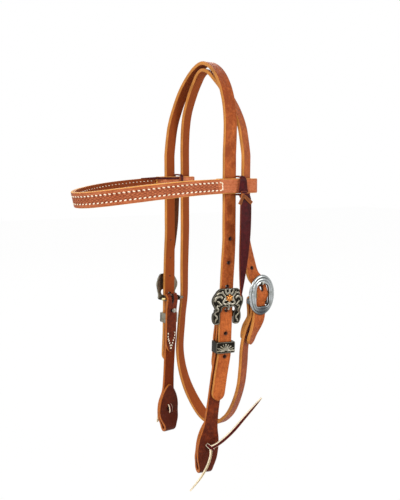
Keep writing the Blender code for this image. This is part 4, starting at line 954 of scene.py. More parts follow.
# a strap from its plan: cut, punched, marked for its material and bent onto its line
def addStrap(name, plan, line, finish, body, replaced=(), start=0.0, out=0.0):
    mesh, knots, halves = flatStrap(plan)
    holes = plan.get("holes", ())
    if holes:
        mesh = punch(mesh, holes, plan["thickness"])
    for slotIndex in range(len(mesh.materials)):
        if mesh.materials[slotIndex] is None:
            mesh.materials[slotIndex] = finish
    if not mesh.materials:
        mesh.materials.append(finish)
    count = len(mesh.vertices)
    flat = np.empty(count * 3)
    mesh.vertices.foreach_get("co", flat)
    flat = flat.reshape(-1, 3)
    half = np.interp(flat[:, 1], knots, halves)
    endGap = np.minimum(flat[:, 1] - knots[0], knots[-1] - flat[:, 1])
    rim = np.minimum(half - np.abs(flat[:, 0]), endGap)
    skin = flat[:, 2] / plan["thickness"] + 0.5
    stain = np.zeros(count)
    for across, along, radius, stretch, share in holes:
        far = np.hypot(flat[:, 0] - across, (flat[:, 1] - along) / stretch) - radius
        stain = np.maximum(stain, np.clip(0.8 - far / (1.8 * mm), 0, 0.8))
    if "tool" in plan:
        lift, toned = plan["tool"](flat[:, 0], flat[:, 1])
        top = skin > 0.95
        flat[:, 2] += np.where(top, lift, 0)
        stain = np.maximum(stain, np.where(top, toned, 0))
    # darker and paler stretches along the strap, listed per strap, are painted shade and light
    # together with the hide's own uneven tone; the marks are blotches in the hide
    tone = np.interp(flat[:, 1], *zip(*plan.get("tone", ((0, 0), (1, 0)))))
    for across, along, reach, amount in plan.get("marks", ()):
        far = np.hypot((flat[:, 0] - across) / reach, (flat[:, 1] - along) / (reach * 1.5))
        tone = tone + amount * np.clip(1 - far**2, 0, 1)
    for key, values in (("rim", rim / mm), ("skin", skin), ("stain", stain), ("tone", tone)):
        values = values.astype(np.float32)
        mesh.attributes.new(key, "FLOAT", "POINT").data.foreach_set("value", values)
    corners = np.empty(len(mesh.loops), dtype=np.int32)
    mesh.loops.foreach_get("vertex_index", corners)
    strapMap = mesh.uv_layers.new(name="strap")
    strapMap.data.foreach_set("uv", flat[corners][:, :2].astype(np.float32).ravel())
    # hide is never quite even: it swells and sinks by a tenth of a millimetre
    wave = 0.09 * mm * np.sin(flat[:, 1] / (11 * mm) + 2 * np.sin(flat[:, 1] / (37 * mm)))
    flat[:, 2] += wave * plan.get("wave", 1)
    bent = line.lay(flat, start, out)
    mesh.vertices.foreach_set("co", bent.astype(np.float32).ravel())
    mesh.shade_smooth()
    mesh.set_sharp_from_angle(angle=math.radians(50))
    made = bpy.data.objects.new(name, mesh)
    bpy.context.scene.collection.objects.link(made)
    addPiece(made, body, replaced)


# stitches as small slanted lozenges sunk in the leather; a spot is (across, along, turn)
def addStitches(name, line, spots, size, out, body):
    work = bmesh.new()
    for across, along, turn in spots:
        seat = line.seat(across, along, out)
        shape = Matrix.Rotation(turn, 4, "Z") @ Matrix.Diagonal((*size, 1))
        bmesh.ops.create_uvsphere(work, u_segments=8, v_segments=5, radius=0.5, matrix=seat @ shape)
    bmesh.ops.recalc_face_normals(work, faces=work.faces)
    made = meshObject(name, work)
    made.data.shade_smooth()
    made.data.materials.append(thread)
    addPiece(made, body)


# Crown strap

crownPlan = {
    "thickness": sizes["crownThickness"],
    "edge": 0.9 * mm,
    "spacing": 1.8 * mm,
    "hole": 2.2 * mm,
    "shutHole": 1.9 * mm,
    "nearHalf": 8.35 * mm,
    "nearPitch": 27.6 * mm,
    "offPitch": 24 * mm,
    "holeUp": 5.0 * mm,
    "tip": 9 * mm,
}
crown = crownLine()
nearBar, offBar = crown.nearest(nearSide.translation), crown.nearest(offSide.translation)
crownTips = strapOutline(
    crown.length, sizes["strapWidth"] / 2, crownPlan["tip"], crownPlan["tip"]
)
# the near side has stretched a little wider above its buckle
crownPlan["outline"] = [
    *crownTips[:10], (nearBar + 40 * mm, sizes["strapWidth"] / 2),
    (nearBar + 60 * mm, crownPlan["nearHalf"]), (crown.length * 0.44, crownPlan["nearHalf"]),
    (crown.length * 0.5, sizes["strapWidth"] / 2), *crownTips[10:],
]
# the tongue's hole is worn open, the others have half closed again
crownPlan["holes"] = [
    (
        0, bar + towards * (crownPlan["holeUp"] + i * pitch),
        crownPlan["hole"] if i == 0 else crownPlan["shutHole"], 1.0, 1.0 if i == 0 else 0.35,
    )
    for bar, towards, pitch in (
        (nearBar, 1, crownPlan["nearPitch"]), (offBar, -1, crownPlan["offPitch"])
    )
    for i in range(-2, 4)
]
# paler down the near billet, darker up the near side of the arch and down the off side: painted
# shade where the arch's underside and the off strap's inner face lie away from the light, with the
# hide's own uneven tone
crownPlan["tone"] = (
    (0, 0.2), (nearBar, 0.15), (nearBar + 90 * mm, 0.15), (nearBar + 130 * mm, 0.05),
    (nearBar + 180 * mm, -0.2), (crown.length * 0.42, -0.4), (crown.length * 0.5, -0.1),
    (crown.length * 0.6, 0.0), (offBar, -0.25), (crown.length, -0.3),
)
crownPlan["marks"] = [
    (across * mm, nearBar + up * mm, reach * mm, amount)
    for across, up, reach, amount in (
        (3.0, 98, 5, -0.9), (-3.5, 104, 4, -0.7), (2.0, 112, 4, 0.6), (-1.0, 122, 5, -0.8),
        (4.0, 86, 4, -0.6), (-4.0, 76, 4, -0.5), (1.0, 66, 5, -0.4), (5.0, 172, 5, -0.5),
        (-4.0, 186, 6, -0.4), (3.0, 214, 6, 0.4), (-3.0, 250, 7, -0.4),
    )
]
addStrap(
    "crownStrap", crownPlan, crown, harnessLeather, "headstall",
    ["crown_strap"],
)
print("crown strap done")


# Throatlatch strap

throatPlan = {
    "thickness": sizes["throatThickness"],
    "edge": 0.9 * mm,
    "spacing": 1.8 * mm,
    "hole": 2.2 * mm,
    "shutHole": 1.9 * mm,
    "holeUp": 19 * mm,
    "pitch": 27.6 * mm,
    "slotLength": 22 * mm,
    "slotWidth": 4 * mm,
    "tips": (9 * mm, 15 * mm),
}
throat = throatLine()
throatAt = throat.nearest(ringSide.translation)
throatFold = throat.nearest(ringSide @ Vector((0, throatBar, throatInner - throatBar)))
throatPlan["outline"] = strapOutline(
    throat.length, sizes["strapWidth"] / 2, *throatPlan["tips"]
)
throatHole = throatAt + throatPlan["holeUp"]
slotStretch = throatPlan["slotLength"] / throatPlan["slotWidth"]
throatPlan["holes"] = [
    (0, throatHole + i * throatPlan["pitch"], throatPlan["shutHole"], 1.0, 0.35) for i in (-1, 1)
]
throatPlan["holes"] += [
    (0, throatHole - mm, throatPlan["hole"], 2.0, 1.0),
    (0, throatFold, throatPlan["slotWidth"] / 2, slotStretch, 1.0),
]
# darker from the bottom of the loop up the near leg and on its chape inside: painted shade, with
# the hide's own uneven tone
throatPlan["tone"] = (
    (0, -0.2), (throatAt, 0.1), (throatAt + 60 * mm, 0.05), (throatAt + 200 * mm, 0.0),
    (throatFold - 320 * mm, -0.1), (throatFold - 190 * mm, -0.25), (throatFold - 110 * mm, -0.5),
    (throatFold - 60 * mm, -0.6), (throatFold, -0.5), (throat.length, -0.5),
)
addStrap(
    "throatlatchStrap", throatPlan, throat, harnessLeather, "headstall",
    ["throatlatch_strap"],
)
print("throatlatch done")


# Cheek straps


def buildCheek(name, side, sway, lean, share, endWidth):
    line = cheekLine(side, sway, lean, share)

    def along(depth, drop):
        return line.nearest(side @ Vector((sway(-drop) + lean(depth, -drop), depth, -drop)))

    half, wide, fold = sizes["strapWidth"] / 2, endWidth / 2, cheekSet["foldWidth"] / 2
    drop, tip, end = cheekSet["length"] * share, cheekSet["tip"], line.length
    lace, tab = (along(depth, drop * cheekSet["laceShare"]) for depth in (cheekOuter, cheekSewn))
    flare, bottom = along(cheekOuter, drop * cheekSet["flareShare"]), (lace + tab) / 2
    stations = [(0, 0.9 * mm), (tip * 0.12, half * 0.42), (tip / 3, half * 0.66)]
    stations += [(tip * 2 / 3, half * 0.9), (tip, half), (tip * 1.5, half)]
    stations += [(flare * 0.7, half), (flare, half)]
    stations += [(flare * 0.6 + lace * 0.4, half * 1.15), (flare * 0.25 + lace * 0.75, wide * 0.92)]
    stations += [(lace, wide), (lace * 0.6 + bottom * 0.4, wide * 0.93)]
    stations += [(lace * 0.2 + bottom * 0.8, fold), (tab * 0.2 + bottom * 0.8, fold)]
    stations += [(tab * 0.6 + bottom * 0.4, wide * 0.93), (tab, wide)]
    stations += [(tab * 0.6 + end * 0.4, wide * 0.88), (tab * 0.25 + end * 0.75, wide * 0.55)]
    stations += [(tab * 0.06 + end * 0.94, wide * 0.24), (end, 0.9 * mm)]
    rivets = [along(depth, cheekSet["rivetDrop"]) for depth in (cheekOuter, cheekOpen)]
    bar = along(cheekBar, cheekBar - cheekInner)
    plan = {
        "outline": stations,
        "smooth": True,
        "thickness": sizes["cheekThickness"],
        "edge": 0.9 * mm,
        "spacing": 1.5 * mm,
        "holes": [(0, at, cheekSet["rivetHole"], 1.0, 1.0) for at in rivets]
        + [(0, at, cheekSet["laceHole"], 1.0, 1.0) for at in (lace, tab)]
        + [(0, bar, cheekSet["rivetHole"], cheekSet["slotStretch"], 1.0)],
        # darker on the chape's tip inside, by the lace knot and on the tab inside, paler over the
        # heel bar: painted shade and light, with the hide's own uneven tone
        "tone": (
            (0, -0.5), (bar, 0.3), (bar + 12 * mm, -0.1), (lace * 0.8, 0.0), (lace, -0.5),
            (end, -0.7),
        ),
    }
    addStrap(
        name + "CheekStrap", plan, line, oiledLeather, "headstall",
        [name + "_cheek_strap"],
    )

    # white stitching in a V closes the chape
    spots = []
    first, last = cheekSet["open"] - 1 * mm, cheekSet["chape"] - 5 * mm
    for towards in (-1, 1):
        for i in range(7):
            part = i / 6
            down = first + (last - first) * part
            reach = (half - 2.6 * mm) * (1 - max(0.0, part - 0.25) / 0.75)
            slant = towards * (0.0 if part < 0.25 else 0.32)
            spots.append((towards * max(reach, 0.5 * mm), along(cheekSewn, down), slant))
    addStitches(name + "ChapeStitches", line, spots, cheekSet["stitch"], halfCheek, "headstall")


buildCheek("near", nearSide, nearSway, nearLean, 1.0, cheekSet["endWidth"])
buildCheek("off", offSide, offSway, offLean, cheekSet["offShare"], cheekSet["offEndWidth"])
print("cheek straps done")


# Browband

bandSet = {
    "halfHeight": sizes["bandHeight"] / 2,
    "rowAt": 4.3 * mm,  # stitch rows, from the middle
    "loopHalf": 8.3 * mm,
    "pitch": 5.2 * mm,
    "stitch": (1.6 * mm, 3.4 * mm, 1.1 * mm),
    "lock": (1.0 * mm, 2.4 * mm, 0.7 * mm),  # what shows of a stitch inside
    "stitchSunk": 0.1 * mm,
    "weaveAcross": 1.5 * mm,
    "weaveAlong": 2.7 * mm,
    "weaveDeep": 0.25 * mm,
    "groove": 0.22 * mm,
    "liningThickness": 2.2 * mm,
}
bandRoute = bandLine()
toolFrom = bandRoute.nearest((seamSet + 3 * mm, -bandOut, -sizes["bandDrop"]))
toolTo = bandRoute.nearest((seamSet + 3 * mm, bandOut, -sizes["bandDrop"]))
bandSet["count"] = int((toolTo - toolFrom) / bandSet["pitch"])


# basket weave between the stitch rows, with a line creased along each side
def bandTool(across, along):
    inside = (along > toolFrom + 3 * mm) & (along < toolTo - 3 * mm)
    weave = (np.abs(across) < 3.0 * mm) & inside
    i = np.floor(across / bandSet["weaveAcross"])
    j = np.floor(along / bandSet["weaveAlong"])
    flip = (i + j) % 2 == 0
    u = across / bandSet["weaveAcross"] - i
    v = along / bandSet["weaveAlong"] - j
    ridge = np.where(flip, np.abs(np.sin(2 * np.pi * u)), np.abs(np.sin(2 * np.pi * v)))
    border = np.minimum.reduce([u, 1 - u, v, 1 - v]) < 0.12
    lift = np.where(weave, bandSet["weaveDeep"] * (ridge - 1.0) - border * 0.12 * mm, 0)
    tone = np.where(weave, np.where(flip, 0.62, 0.06) - 0.2 * ridge + border * 0.2, 0)
    for at, deep in ((3.15 * mm, 1.0), (7.3 * mm, 0.7)):
        line = np.clip(1 - np.abs(np.abs(across) - at) / (0.35 * mm), 0, 1)
        line = line * (inside | (at > 5 * mm))
        lift = lift - line * bandSet["groove"] * deep
        tone = np.maximum(tone, line * 0.55 * deep)
    # the stitches lie in a shallow channel
    channel = np.clip(1 - np.abs(np.abs(across) - bandSet["rowAt"]) / (1.2 * mm), 0, 1) * inside
    lift = lift - channel * 0.2 * mm
    tone = np.maximum(tone, channel * 0.25)
    # the awl holes between the stitches
    step = (toolTo - toolFrom) / bandSet["count"]
    gap = ((along - toolFrom) / step - np.floor((along - toolFrom) / step) - 0.5) * step
    awl = np.hypot((np.abs(across) - bandSet["rowAt"]) / (0.9 * mm), gap / (0.75 * mm))
    tone = np.maximum(tone, np.clip(1.5 - awl, 0, 1) * inside)
    lift = lift - np.clip(1.2 - awl, 0, 1) * inside * 0.3 * mm
    return lift, tone


half, loopHalf = bandSet["halfHeight"], bandSet["loopHalf"]


# the band is a little lower where it goes round the straps
def bandStations(start, end, less=0.0):
    marks = [
        (start, loopHalf), (toolFrom + 10 * mm, loopHalf), (toolFrom + 90 * mm, half),
        (toolTo - 90 * mm, half), (toolTo - 10 * mm, loopHalf), (end, loopHalf),
    ]
    # rounded over where it turns back behind the straps
    middle = len(bandRoute.places) // 2
    for turn in (
        np.argmax(bandRoute.places[:middle, 0]), middle + np.argmax(bandRoute.places[middle:, 0])
    ):
        at = float(bandRoute.along[turn])
        if start < at < end:
            marks += [(at + shift * mm, loopHalf - lost * mm) for shift, lost in (
                (-7, 0), (-4, 0.3), (-1.5, 0.8), (1.5, 0.8), (4, 0.3), (7, 0)
            )]
    return [(at - start, width - less) for at, width in sorted(marks)]


bandPlan = {
    "outline": bandStations(0, bandRoute.length),
    "thickness": band,
    "edge": 0.9 * mm,
    "spacing": 0.58 * mm,
    "shares": tuple(np.linspace(-1, 1, 39)),
    "tool": bandTool,
    "wave": 0.5,
}
addStrap(
    "browbandFront", bandPlan, bandRoute, bridleLeather, "browband",
    ["browband_front"],
)

# lining of the front arms, flesh side to the head
firstAt, lastAt = (
    bandRoute.nearest((seamSet - sizes["play"] - band, towards * bandOut, -sizes["bandDrop"]))
    for towards in (-1, 1)
)
liningPlan = {
    "outline": bandStations(firstAt, lastAt, 0.2 * mm),
    "thickness": bandSet["liningThickness"],
    "edge": 0.7 * mm,
    "spacing": 1.8 * mm,
}
liningOut = -(band / 2 + sizes["fit"] + bandSet["liningThickness"] / 2)
addStrap(
    "browbandLining", liningPlan, bandRoute, liningLeather, "browband",
    ["browband_lining"], firstAt, liningOut,
)

# two rows of heavy white stitches, closed across both ends of the tooling
rows = []
for i in range(bandSet["count"] + 1):
    at = toolFrom + (toolTo - toolFrom) * i / bandSet["count"]
    rows += [(-bandSet["rowAt"], at, 0.3), (bandSet["rowAt"], at, -0.3)]
for at in (toolFrom - 2.2 * mm, toolTo + 2.2 * mm):
    rows += [(across, at, math.pi / 2 + 0.15) for across in (-2.9 * mm, 0.0, 2.9 * mm)]
sunk = bandSet["stitchSunk"]
addStitches(
    "browbandStitches", bandRoute, rows, bandSet["stitch"], band / 2 - sunk, "browband"
)
# on the inside only the upper row shows its locks
inner = [
    (across, at, -turn) for across, at, turn in rows
    if across > 4 * mm and firstAt + 2 * mm < at < lastAt - 2 * mm
]
innerOut = liningOut - bandSet["liningThickness"] / 2 + sunk
addStitches("liningStitches", bandRoute, inner, bandSet["lock"], innerOut, "browband")

# the far lace's spare end is tucked along the inside of the far arm
tuckedSet = {"width": 3.2 * mm, "thickness": 1.5 * mm, "down": 2.0 * mm}
layers = band + 2 * sizes["fit"] + bandSet["liningThickness"]
tucked = StrapLine([
    (Vector((x * mm, y, loopHalf - tuckedSet["down"] - sizes["bandDrop"])), zAxis)
    for x, y in (
        (-4, crownIn - band / 2 - 1.3 * mm), (-12, crownIn - band / 2 - 1.3 * mm),
        (-20, crownIn - band / 2 - mm), (-27.5, bandOut - layers - 5 * mm),
        (-34, bandOut - layers - 1.2 * mm), (-44, bandOut - layers - 0.8 * mm),
        (-54, bandOut - layers - 1.1 * mm),
    )
])
tuckedPlan = {
    "outline": [
        (0, tuckedSet["width"] / 2), (tucked.length * 0.6, tuckedSet["width"] / 2),
        (tucked.length, 0.5 * mm),
    ],
    "thickness": tuckedSet["thickness"],
    "edge": 0.4 * mm,
    "spacing": 1.2 * mm,
}
addStrap("tuckedLaceEnd", tuckedPlan, tucked, latigoLeather, "browband")
print("browband done")


# Browband laces

tieSet = {
    "thickness": 2 * mm,
    # where it is knotted, its widths, and its tail's length, place and lean
    "near": {
        "setHere": 1.1 * mm, "width": 6.4 * mm, "flare": 14 * mm, "tailLength": 112 * mm,
        "tailShift": 1.1 * mm, "lean": -7.5 * mm,
    },
    "off": {
        "setHere": -1.5 * mm, "width": 4.2 * mm, "flare": 11.5 * mm, "tailLength": 80 * mm,
        "tailShift": 3.6 * mm, "lean": 0,
    },
    # shares of the tail's length and of its half width
    "tail": ((0, 0.6), (0.04, 0.9), (0.10, 1), (0.45, 0.97), (0.65, 0.78), (0.85, 0.45), (1, 0.12)),
    "tailFlare": 14.4 * mm,
    "splitFrom": (-2.6, -152.5),  # x and z of the slit end's legs in mm
    "splitTo": ((-7.0, -163.0), (9.4, -161.8)),
}
tieOut = bandOut + band / 2 + 2 * sizes["fit"] + tieSet["thickness"] / 2
tieIn = loopIn - band / 2 - 2 * sizes["fit"] - tieSet["thickness"] / 2
tieUp = half + sizes["fit"] + tieSet["thickness"] / 2
tailOut = tieOut + 2 * (tieSet["thickness"] + sizes["fit"])


def wrapLine(towards, setHere):
    corner, lap = 1.5 * tieSet["thickness"], tieSet["thickness"] + sizes["fit"]
    line = [(tieOut, -tieUp * 0.75), (tieOut, 0), (tieOut, tieUp - corner)]
    line += [(tieOut - corner * 0.29, tieUp - corner * 0.29), (tieOut - corner, tieUp)]
    line += [(tieIn + corner, tieUp), (tieIn + corner * 0.29, tieUp - corner * 0.29)]
    line += [(tieIn, tieUp - corner), (tieIn, corner - tieUp)]
    line += [(tieIn + corner * 0.29, corner * 0.29 - tieUp), (tieIn + corner, -tieUp)]
    line += [(tieOut - corner * 0.8, -tieUp), (tieOut, -tieUp - lap * 1.1)]
    line += [(tieOut + lap, -tieUp * 0.95), (tieOut + lap, -tieUp * 0.55)]
    drop = -sizes["bandDrop"]
    return StrapLine([
        (Vector((setHere, towards * y, drop + z)), xAxis * -towards) for y, z in line
    ])


def buildTie(name, towards, setHere, width, flare, tailLength, tailShift, lean):
    line = wrapLine(towards, setHere)
    narrow, wide, end = width / 2, flare / 2, line.length
    wrapPlan = {
        "outline": [
            (0, wide), (tieUp * 0.7, wide * 0.84), (tieUp * 1.45, narrow * 0.6 + wide * 0.4),
            (tieUp * 1.8, narrow), (end - tieUp * 1.2, narrow), (end, narrow * 1.2),
        ],
        "thickness": tieSet["thickness"],
        "edge": 0.5 * mm,
        "spacing": 0.9 * mm,
    }
    addStrap(
        name + "Tie", wrapPlan, line, latigoLeather, "browband",
        [name + "_tie"],
    )
    drop = -sizes["bandDrop"]
    top = Vector((setHere + tailShift, towards * tailOut, drop - tieUp * 1.25))
    out = towards * tieSet["thickness"]
    points = [top + Vector((0, 0, tieUp * 0.45)), top]
    points.append(top + Vector((lean * 0.2, out, -tailLength * 0.3)))
    points.append(top + Vector((lean * 0.6, out * 1.4, -tailLength * 0.65)))
    points.append(top + Vector((lean, out * 1.5, -tailLength)))
    tail = StrapLine([(p, xAxis * towards) for p in points])
    broad, end = tieSet["tailFlare"] / 2, tail.length
    tailPlan = {
        "outline": [(end * along, broad * share) for along, share in tieSet["tail"]],
        "smooth": True,
        "thickness": tieSet["thickness"],
        "edge": 0.5 * mm,
        "spacing": 1.2 * mm,
    }
    addStrap(
        name + "TieTail", tailPlan, tail, latigoLeather, name + "_tie_tail",
        [name + "_tie_tail"],
    )


for name, towards in (("near", -1), ("off", 1)):
    buildTie(name, towards, **tieSet[name])

# the near lace ends in a slit whose two legs straddle the tail
for label, (x, z) in zip(("Front", "Rear"), tieSet["splitTo"]):
    startX, startZ = tieSet["splitFrom"]
    reach = Vector(((x - startX) * mm, 0, (z - startZ) * mm))
    leg = StrapLine([
        (
            Vector((startX * mm, -tailOut - depth * mm, startZ * mm)) + reach * share,
            reach.normalized().cross(yAxis),
        )
        for share, depth in ((-0.12, 1.3), (0.1, 1.75), (0.5, 2.0), (1.0, 1.75))
    ])
    legPlan = {
        "outline": [(0, 1.2 * mm), (leg.length * 0.3, 1.8 * mm), (leg.length, 2.1 * mm)],
        "thickness": 1.1 * mm,
        "edge": 0.3 * mm,
        "spacing": 0.8 * mm,
    }
    addStrap(
        "nearTieSplit" + label, legPlan, leg, splitLeather, "near_tie_tail"
    )
print("browband laces done")


# Bit laces

laceSet = {
    "width": 4.6 * mm,
    "lowerWidth": 2.6 * mm,
    "thickness": 2 * mm,
    "nearUp": Vector((57 * mm, 16 * mm, 60 * mm)),
    "nearDown": Vector((-31 * mm, 14 * mm, -42 * mm)),
    "offUp": Vector((7 * mm, 9 * mm, -24 * mm)),
    "offDown": Vector((3 * mm, 6 * mm, -20 * mm)),
    "upShares": ((0, 0, 0), (0.12, 0.35, 0.10), (0.35, 0.75, 0.33), (0.65, 0.95, 0.66), (1, 1, 1)),
    "downShares": (
        (0, 0, 0), (0.06, 0.35, 0.15), (0.25, 0.75, 0.36), (0.56, 0.95, 0.66), (1, 1, 1)
    ),
}


def buildLace(name, side, sway, share, up, down):
    drop = cheekSet["length"] * cheekSet["laceShare"] * share
    surface = cheekOuter - halfCheek - sizes["fit"]
    knot = Vector((sway(-drop), surface - laceSet["thickness"], -drop))
    turned = side.to_3x3()
    thick = laceSet["thickness"]
    for label, reach, shares, fleshOut in (
        ("Upper", up, laceSet["upShares"], 1), ("Lower", down, laceSet["downShares"], -1)
    ):
        reach = Vector((reach.x, -reach.y, reach.z))
        points = [knot + Vector((reach.x * a, reach.y * b, reach.z * c)) for a, b, c in shares]
        width = Vector((reach.z, 0, -reach.x)).normalized() * fleshOut
        line = StrapLine([(side @ p, turned @ width) for p in points])
        end, broad = line.length, laceSet["width" if label == "Upper" else "lowerWidth"] / 2
        plan = {
            "outline": [
                (0, broad), (end * 0.6, broad * 0.95), (end * 0.9, broad * 0.6), (end, 0.6 * mm)
            ],
            "smooth": True,
            "thickness": thick,
            "edge": 0.45 * mm,
            "spacing": 1.1 * mm,
        }
        addStrap(
            name + "Lace" + label, plan, line, thongLeather, "headstall",
            [name + "_bit_lace"] if label == "Upper" else (),
        )

    # the half hitch over the hole, on the outside, and the flat turn inside
    for label, depth, outwards, slope, long in (
        ("Hitch", surface - thick * 1.2, -1, -0.75, 10.5 * mm),
        ("Inside", cheekSewn + halfCheek + sizes["fit"] + thick * 0.7, 1, 1.4, 11 * mm),
    ):
        across = Vector((math.cos(slope), 0, math.sin(slope)))
        lift = Vector((0, outwards * thick * 1.2, 0))
        middle = Vector((knot.x, depth, knot.z))
        points = [
            middle - across * long * 0.5 - lift * 1.1, middle - across * long * 0.42 - lift * 0.2,
            middle + lift * 0.35, middle + across * long * 0.42 - lift * 0.2,
            middle + across * long * 0.5 - lift * 1.1,
        ]
        width = across.cross(Vector((0, outwards, 0)))
        line = StrapLine([(side @ p, turned @ width) for p in points])
        plan = {
            "outline": [(0, 2.0 * mm), (line.length / 2, 2.4 * mm), (line.length, 2.0 * mm)],
            "thickness": thick,
            "edge": 0.45 * mm,
            "spacing": 0.7 * mm,
        }
        addStrap(
            name + "Lace" + label, plan, line, thongLeather, "headstall"
        )


buildLace("near", nearSide, nearSway, 1.0, laceSet["nearUp"], laceSet["nearDown"])
buildLace("off", offSide, offSway, cheekSet["offShare"], laceSet["offUp"], laceSet["offDown"])
print("bit laces done")


# Engraved silver


# true for the points of a grid that lie inside a closed outline
def insideOf(points, outline):
    x, y = points[:, 0], points[:, 1]
    hit = np.zeros(len(points), dtype=bool)
    for (x1, y1), (x2, y2) in zip(outline, np.roll(outline, -1, axis=0)):
        crosses = (y1 > y) != (y2 > y)
        hit ^= crosses & (x < (x2 - x1) * (y - y1) / (y2 - y1 + 1e-12) + x1)
    return hit


# a cast plate: a fine grid trimmed to its outline, with ridges raised on its face
def reliefPlate(outline, cell, thickness, ridges, rimWidth, rimShare, height, shape, backRelief):
    outline = smoothThrough([(x, y, 0.0) for x, y in [*outline, outline[0]]], 0.25 * mm)[:-1, :2]
    low, high = outline.min(axis=0), outline.max(axis=0)
    work = bmesh.new()
    steps = [max(2, int((high[i] - low[i]) / cell)) for i in (0, 1)]
    bmesh.ops.create_grid(work, x_segments=steps[0], y_segments=steps[1], size=1)
    for vert in work.verts:
        vert.co.x = low[0] + (vert.co.x + 1) / 2 * (high[0] - low[0])
        vert.co.y = low[1] + (vert.co.y + 1) / 2 * (high[1] - low[1])
    flat = np.array([vert.co[:2] for vert in work.verts])
    keep = insideOf(flat, outline)
    gone = [vert for vert, kept in zip(work.verts, keep) if not kept]
    bmesh.ops.delete(work, geom=gone, context="VERTS")
    loose = [vert for vert in work.verts if len(vert.link_faces) < 2]
    bmesh.ops.delete(work, geom=loose, context="VERTS")
    for vert in work.verts:
        if vert.is_boundary:
            here = np.array(vert.co[:2])
            vert.co.xy = outline[np.argmin(((outline - here) ** 2).sum(axis=1))]
    bmesh.ops.remove_doubles(work, verts=work.verts, dist=0.02 * mm)
    flat = np.array([vert.co[:2] for vert in work.verts])
    gap = np.full(len(flat), 1.0)
    for start in range(0, len(outline), 64):
        part = outline[start : start + 64]
        gap = np.minimum(gap, np.sqrt(((flat[:, None] - part[None]) ** 2).sum(axis=2)).min(axis=1))
    raised = rimShare * np.clip(1 - np.abs(gap - rimWidth * 0.5) / (rimWidth * 0.6), 0, 1) ** 0.7
    for points, width in ridges:
        dense = smoothThrough([(x * mm, y * mm, 0.0) for x, y in points], 0.25 * mm)[:, :2]
        far = np.sqrt(((flat[:, None] - dense[None]) ** 2).sum(axis=2)).min(axis=1)
        raised = np.maximum(raised, np.sqrt(np.clip(1 - (far / (width * mm)) ** 2, 0, 1)))
    layer = work.verts.layers.float.new("relief")
    for vert, value in zip(work.verts, raised):
        vert[layer] = float(value)
        vert.co.z = thickness / 2 + height * float(value)
    # the back and the sides; the back was never polished
    top = work.faces[:]
    grown = bmesh.ops.extrude_face_region(work, geom=top, use_keep_orig=True)
    for item in grown["geom"]:
        if isinstance(item, bmesh.types.BMFace):
            item.material_index = 1
    back = [item for item in grown["geom"] if isinstance(item, bmesh.types.BMVert)]
    for vert in back:
        vert.co.z = -thickness / 2
        vert[layer] = backRelief
    bmesh.ops.recalc_face_normals(work, faces=work.faces)
    for vert in work.verts:
        vert.co = shape(*vert.co)
    bmesh.ops.recalc_face_normals(work, faces=work.faces)
    return work


# how far the buffing wheel reached a plain piece
def markRelief(work, relief):
    layer = work.verts.layers.float.new("relief")
    for vert in work.verts:
        vert[layer] = relief


# joins two bmeshes and frees the second
def takeIn(work, other, relief=0.6):
    mesh = bpy.data.meshes.new("part")
    if "relief" not in other.verts.layers.float:
        markRelief(other, relief)
    other.to_mesh(mesh)
    other.free()
    work.from_mesh(mesh)
    bpy.data.meshes.remove(mesh)


def roundEdges(work, edges, offset):
    bmesh.ops.bevel(
        work, geom=edges, offset=offset, segments=2, profile=0.5, affect="EDGES", material=-1
    )


# a casting: smooth but for its real edges
def addCasting(name, work, finishes, body, replaced=(), angle=45):
    made = meshObject(name, work)
    made.data.shade_smooth()
    made.data.set_sharp_from_angle(angle=math.radians(angle))
    for finish in finishes:
        made.data.materials.append(finish)
    addPiece(made, body, replaced)


# (x, y) points round a box with rounded corners
def roundedBox(halfX, low, high, radius, steps):
    points = []
    corners = ((halfX, low, -90), (halfX, high, 0), (-halfX, high, 90), (-halfX, low, 180))
    for x, y, first in corners:
        middleX = x - math.copysign(radius, x)
        middleY = y + (radius if y == low else -radius)
        for i in range(steps + 1):
            a = math.radians(first + 90 * i / steps)
            points.append((middleX + radius * math.cos(a), middleY + radius * math.sin(a)))
    return points


def roundBar(radius, length, middle, sides=20):
    work = bmesh.new()
    turn = Matrix.Translation(middle) @ Matrix.Rotation(math.pi / 2, 4, "Y")
    bmesh.ops.create_cone(
        work, cap_ends=True, segments=sides, radius1=radius, radius2=radius, depth=length,
        matrix=turn,
    )
    rims = [edge for edge in work.edges if edge.calc_face_angle(0) > 1]
    roundEdges(work, rims, radius * 0.25)
    return work


# the two ears that carry a heel bar, tapered like the solid's
def ears(depth, front, innerX, legWidth):
    work = bmesh.new()
    back = depth + 2 * sizes["barRadius"]
    low, high = sizes["barRadius"] * 1.9, sizes["barRadius"] * 2.6
    for towards in (-1, 1):
        middle = towards * (innerX + legWidth / 4)
        one = bmesh.new()
        corners = ((back, -low), (back, low), (front, high), (front, -high))
        one.faces.new([one.verts.new((middle, y, z)) for y, z in corners])
        bmesh.ops.solidify(one, geom=one.faces[:], thickness=legWidth / 2)
        shift = middle - sum(vert.co.x for vert in one.verts) / len(one.verts)
        bmesh.ops.translate(one, verts=one.verts, vec=(shift, 0, 0))
        bmesh.ops.recalc_face_normals(one, faces=one.faces)
        roundEdges(one, one.edges[:], 0.45 * mm)
        takeIn(work, one, 0.5)
    return work


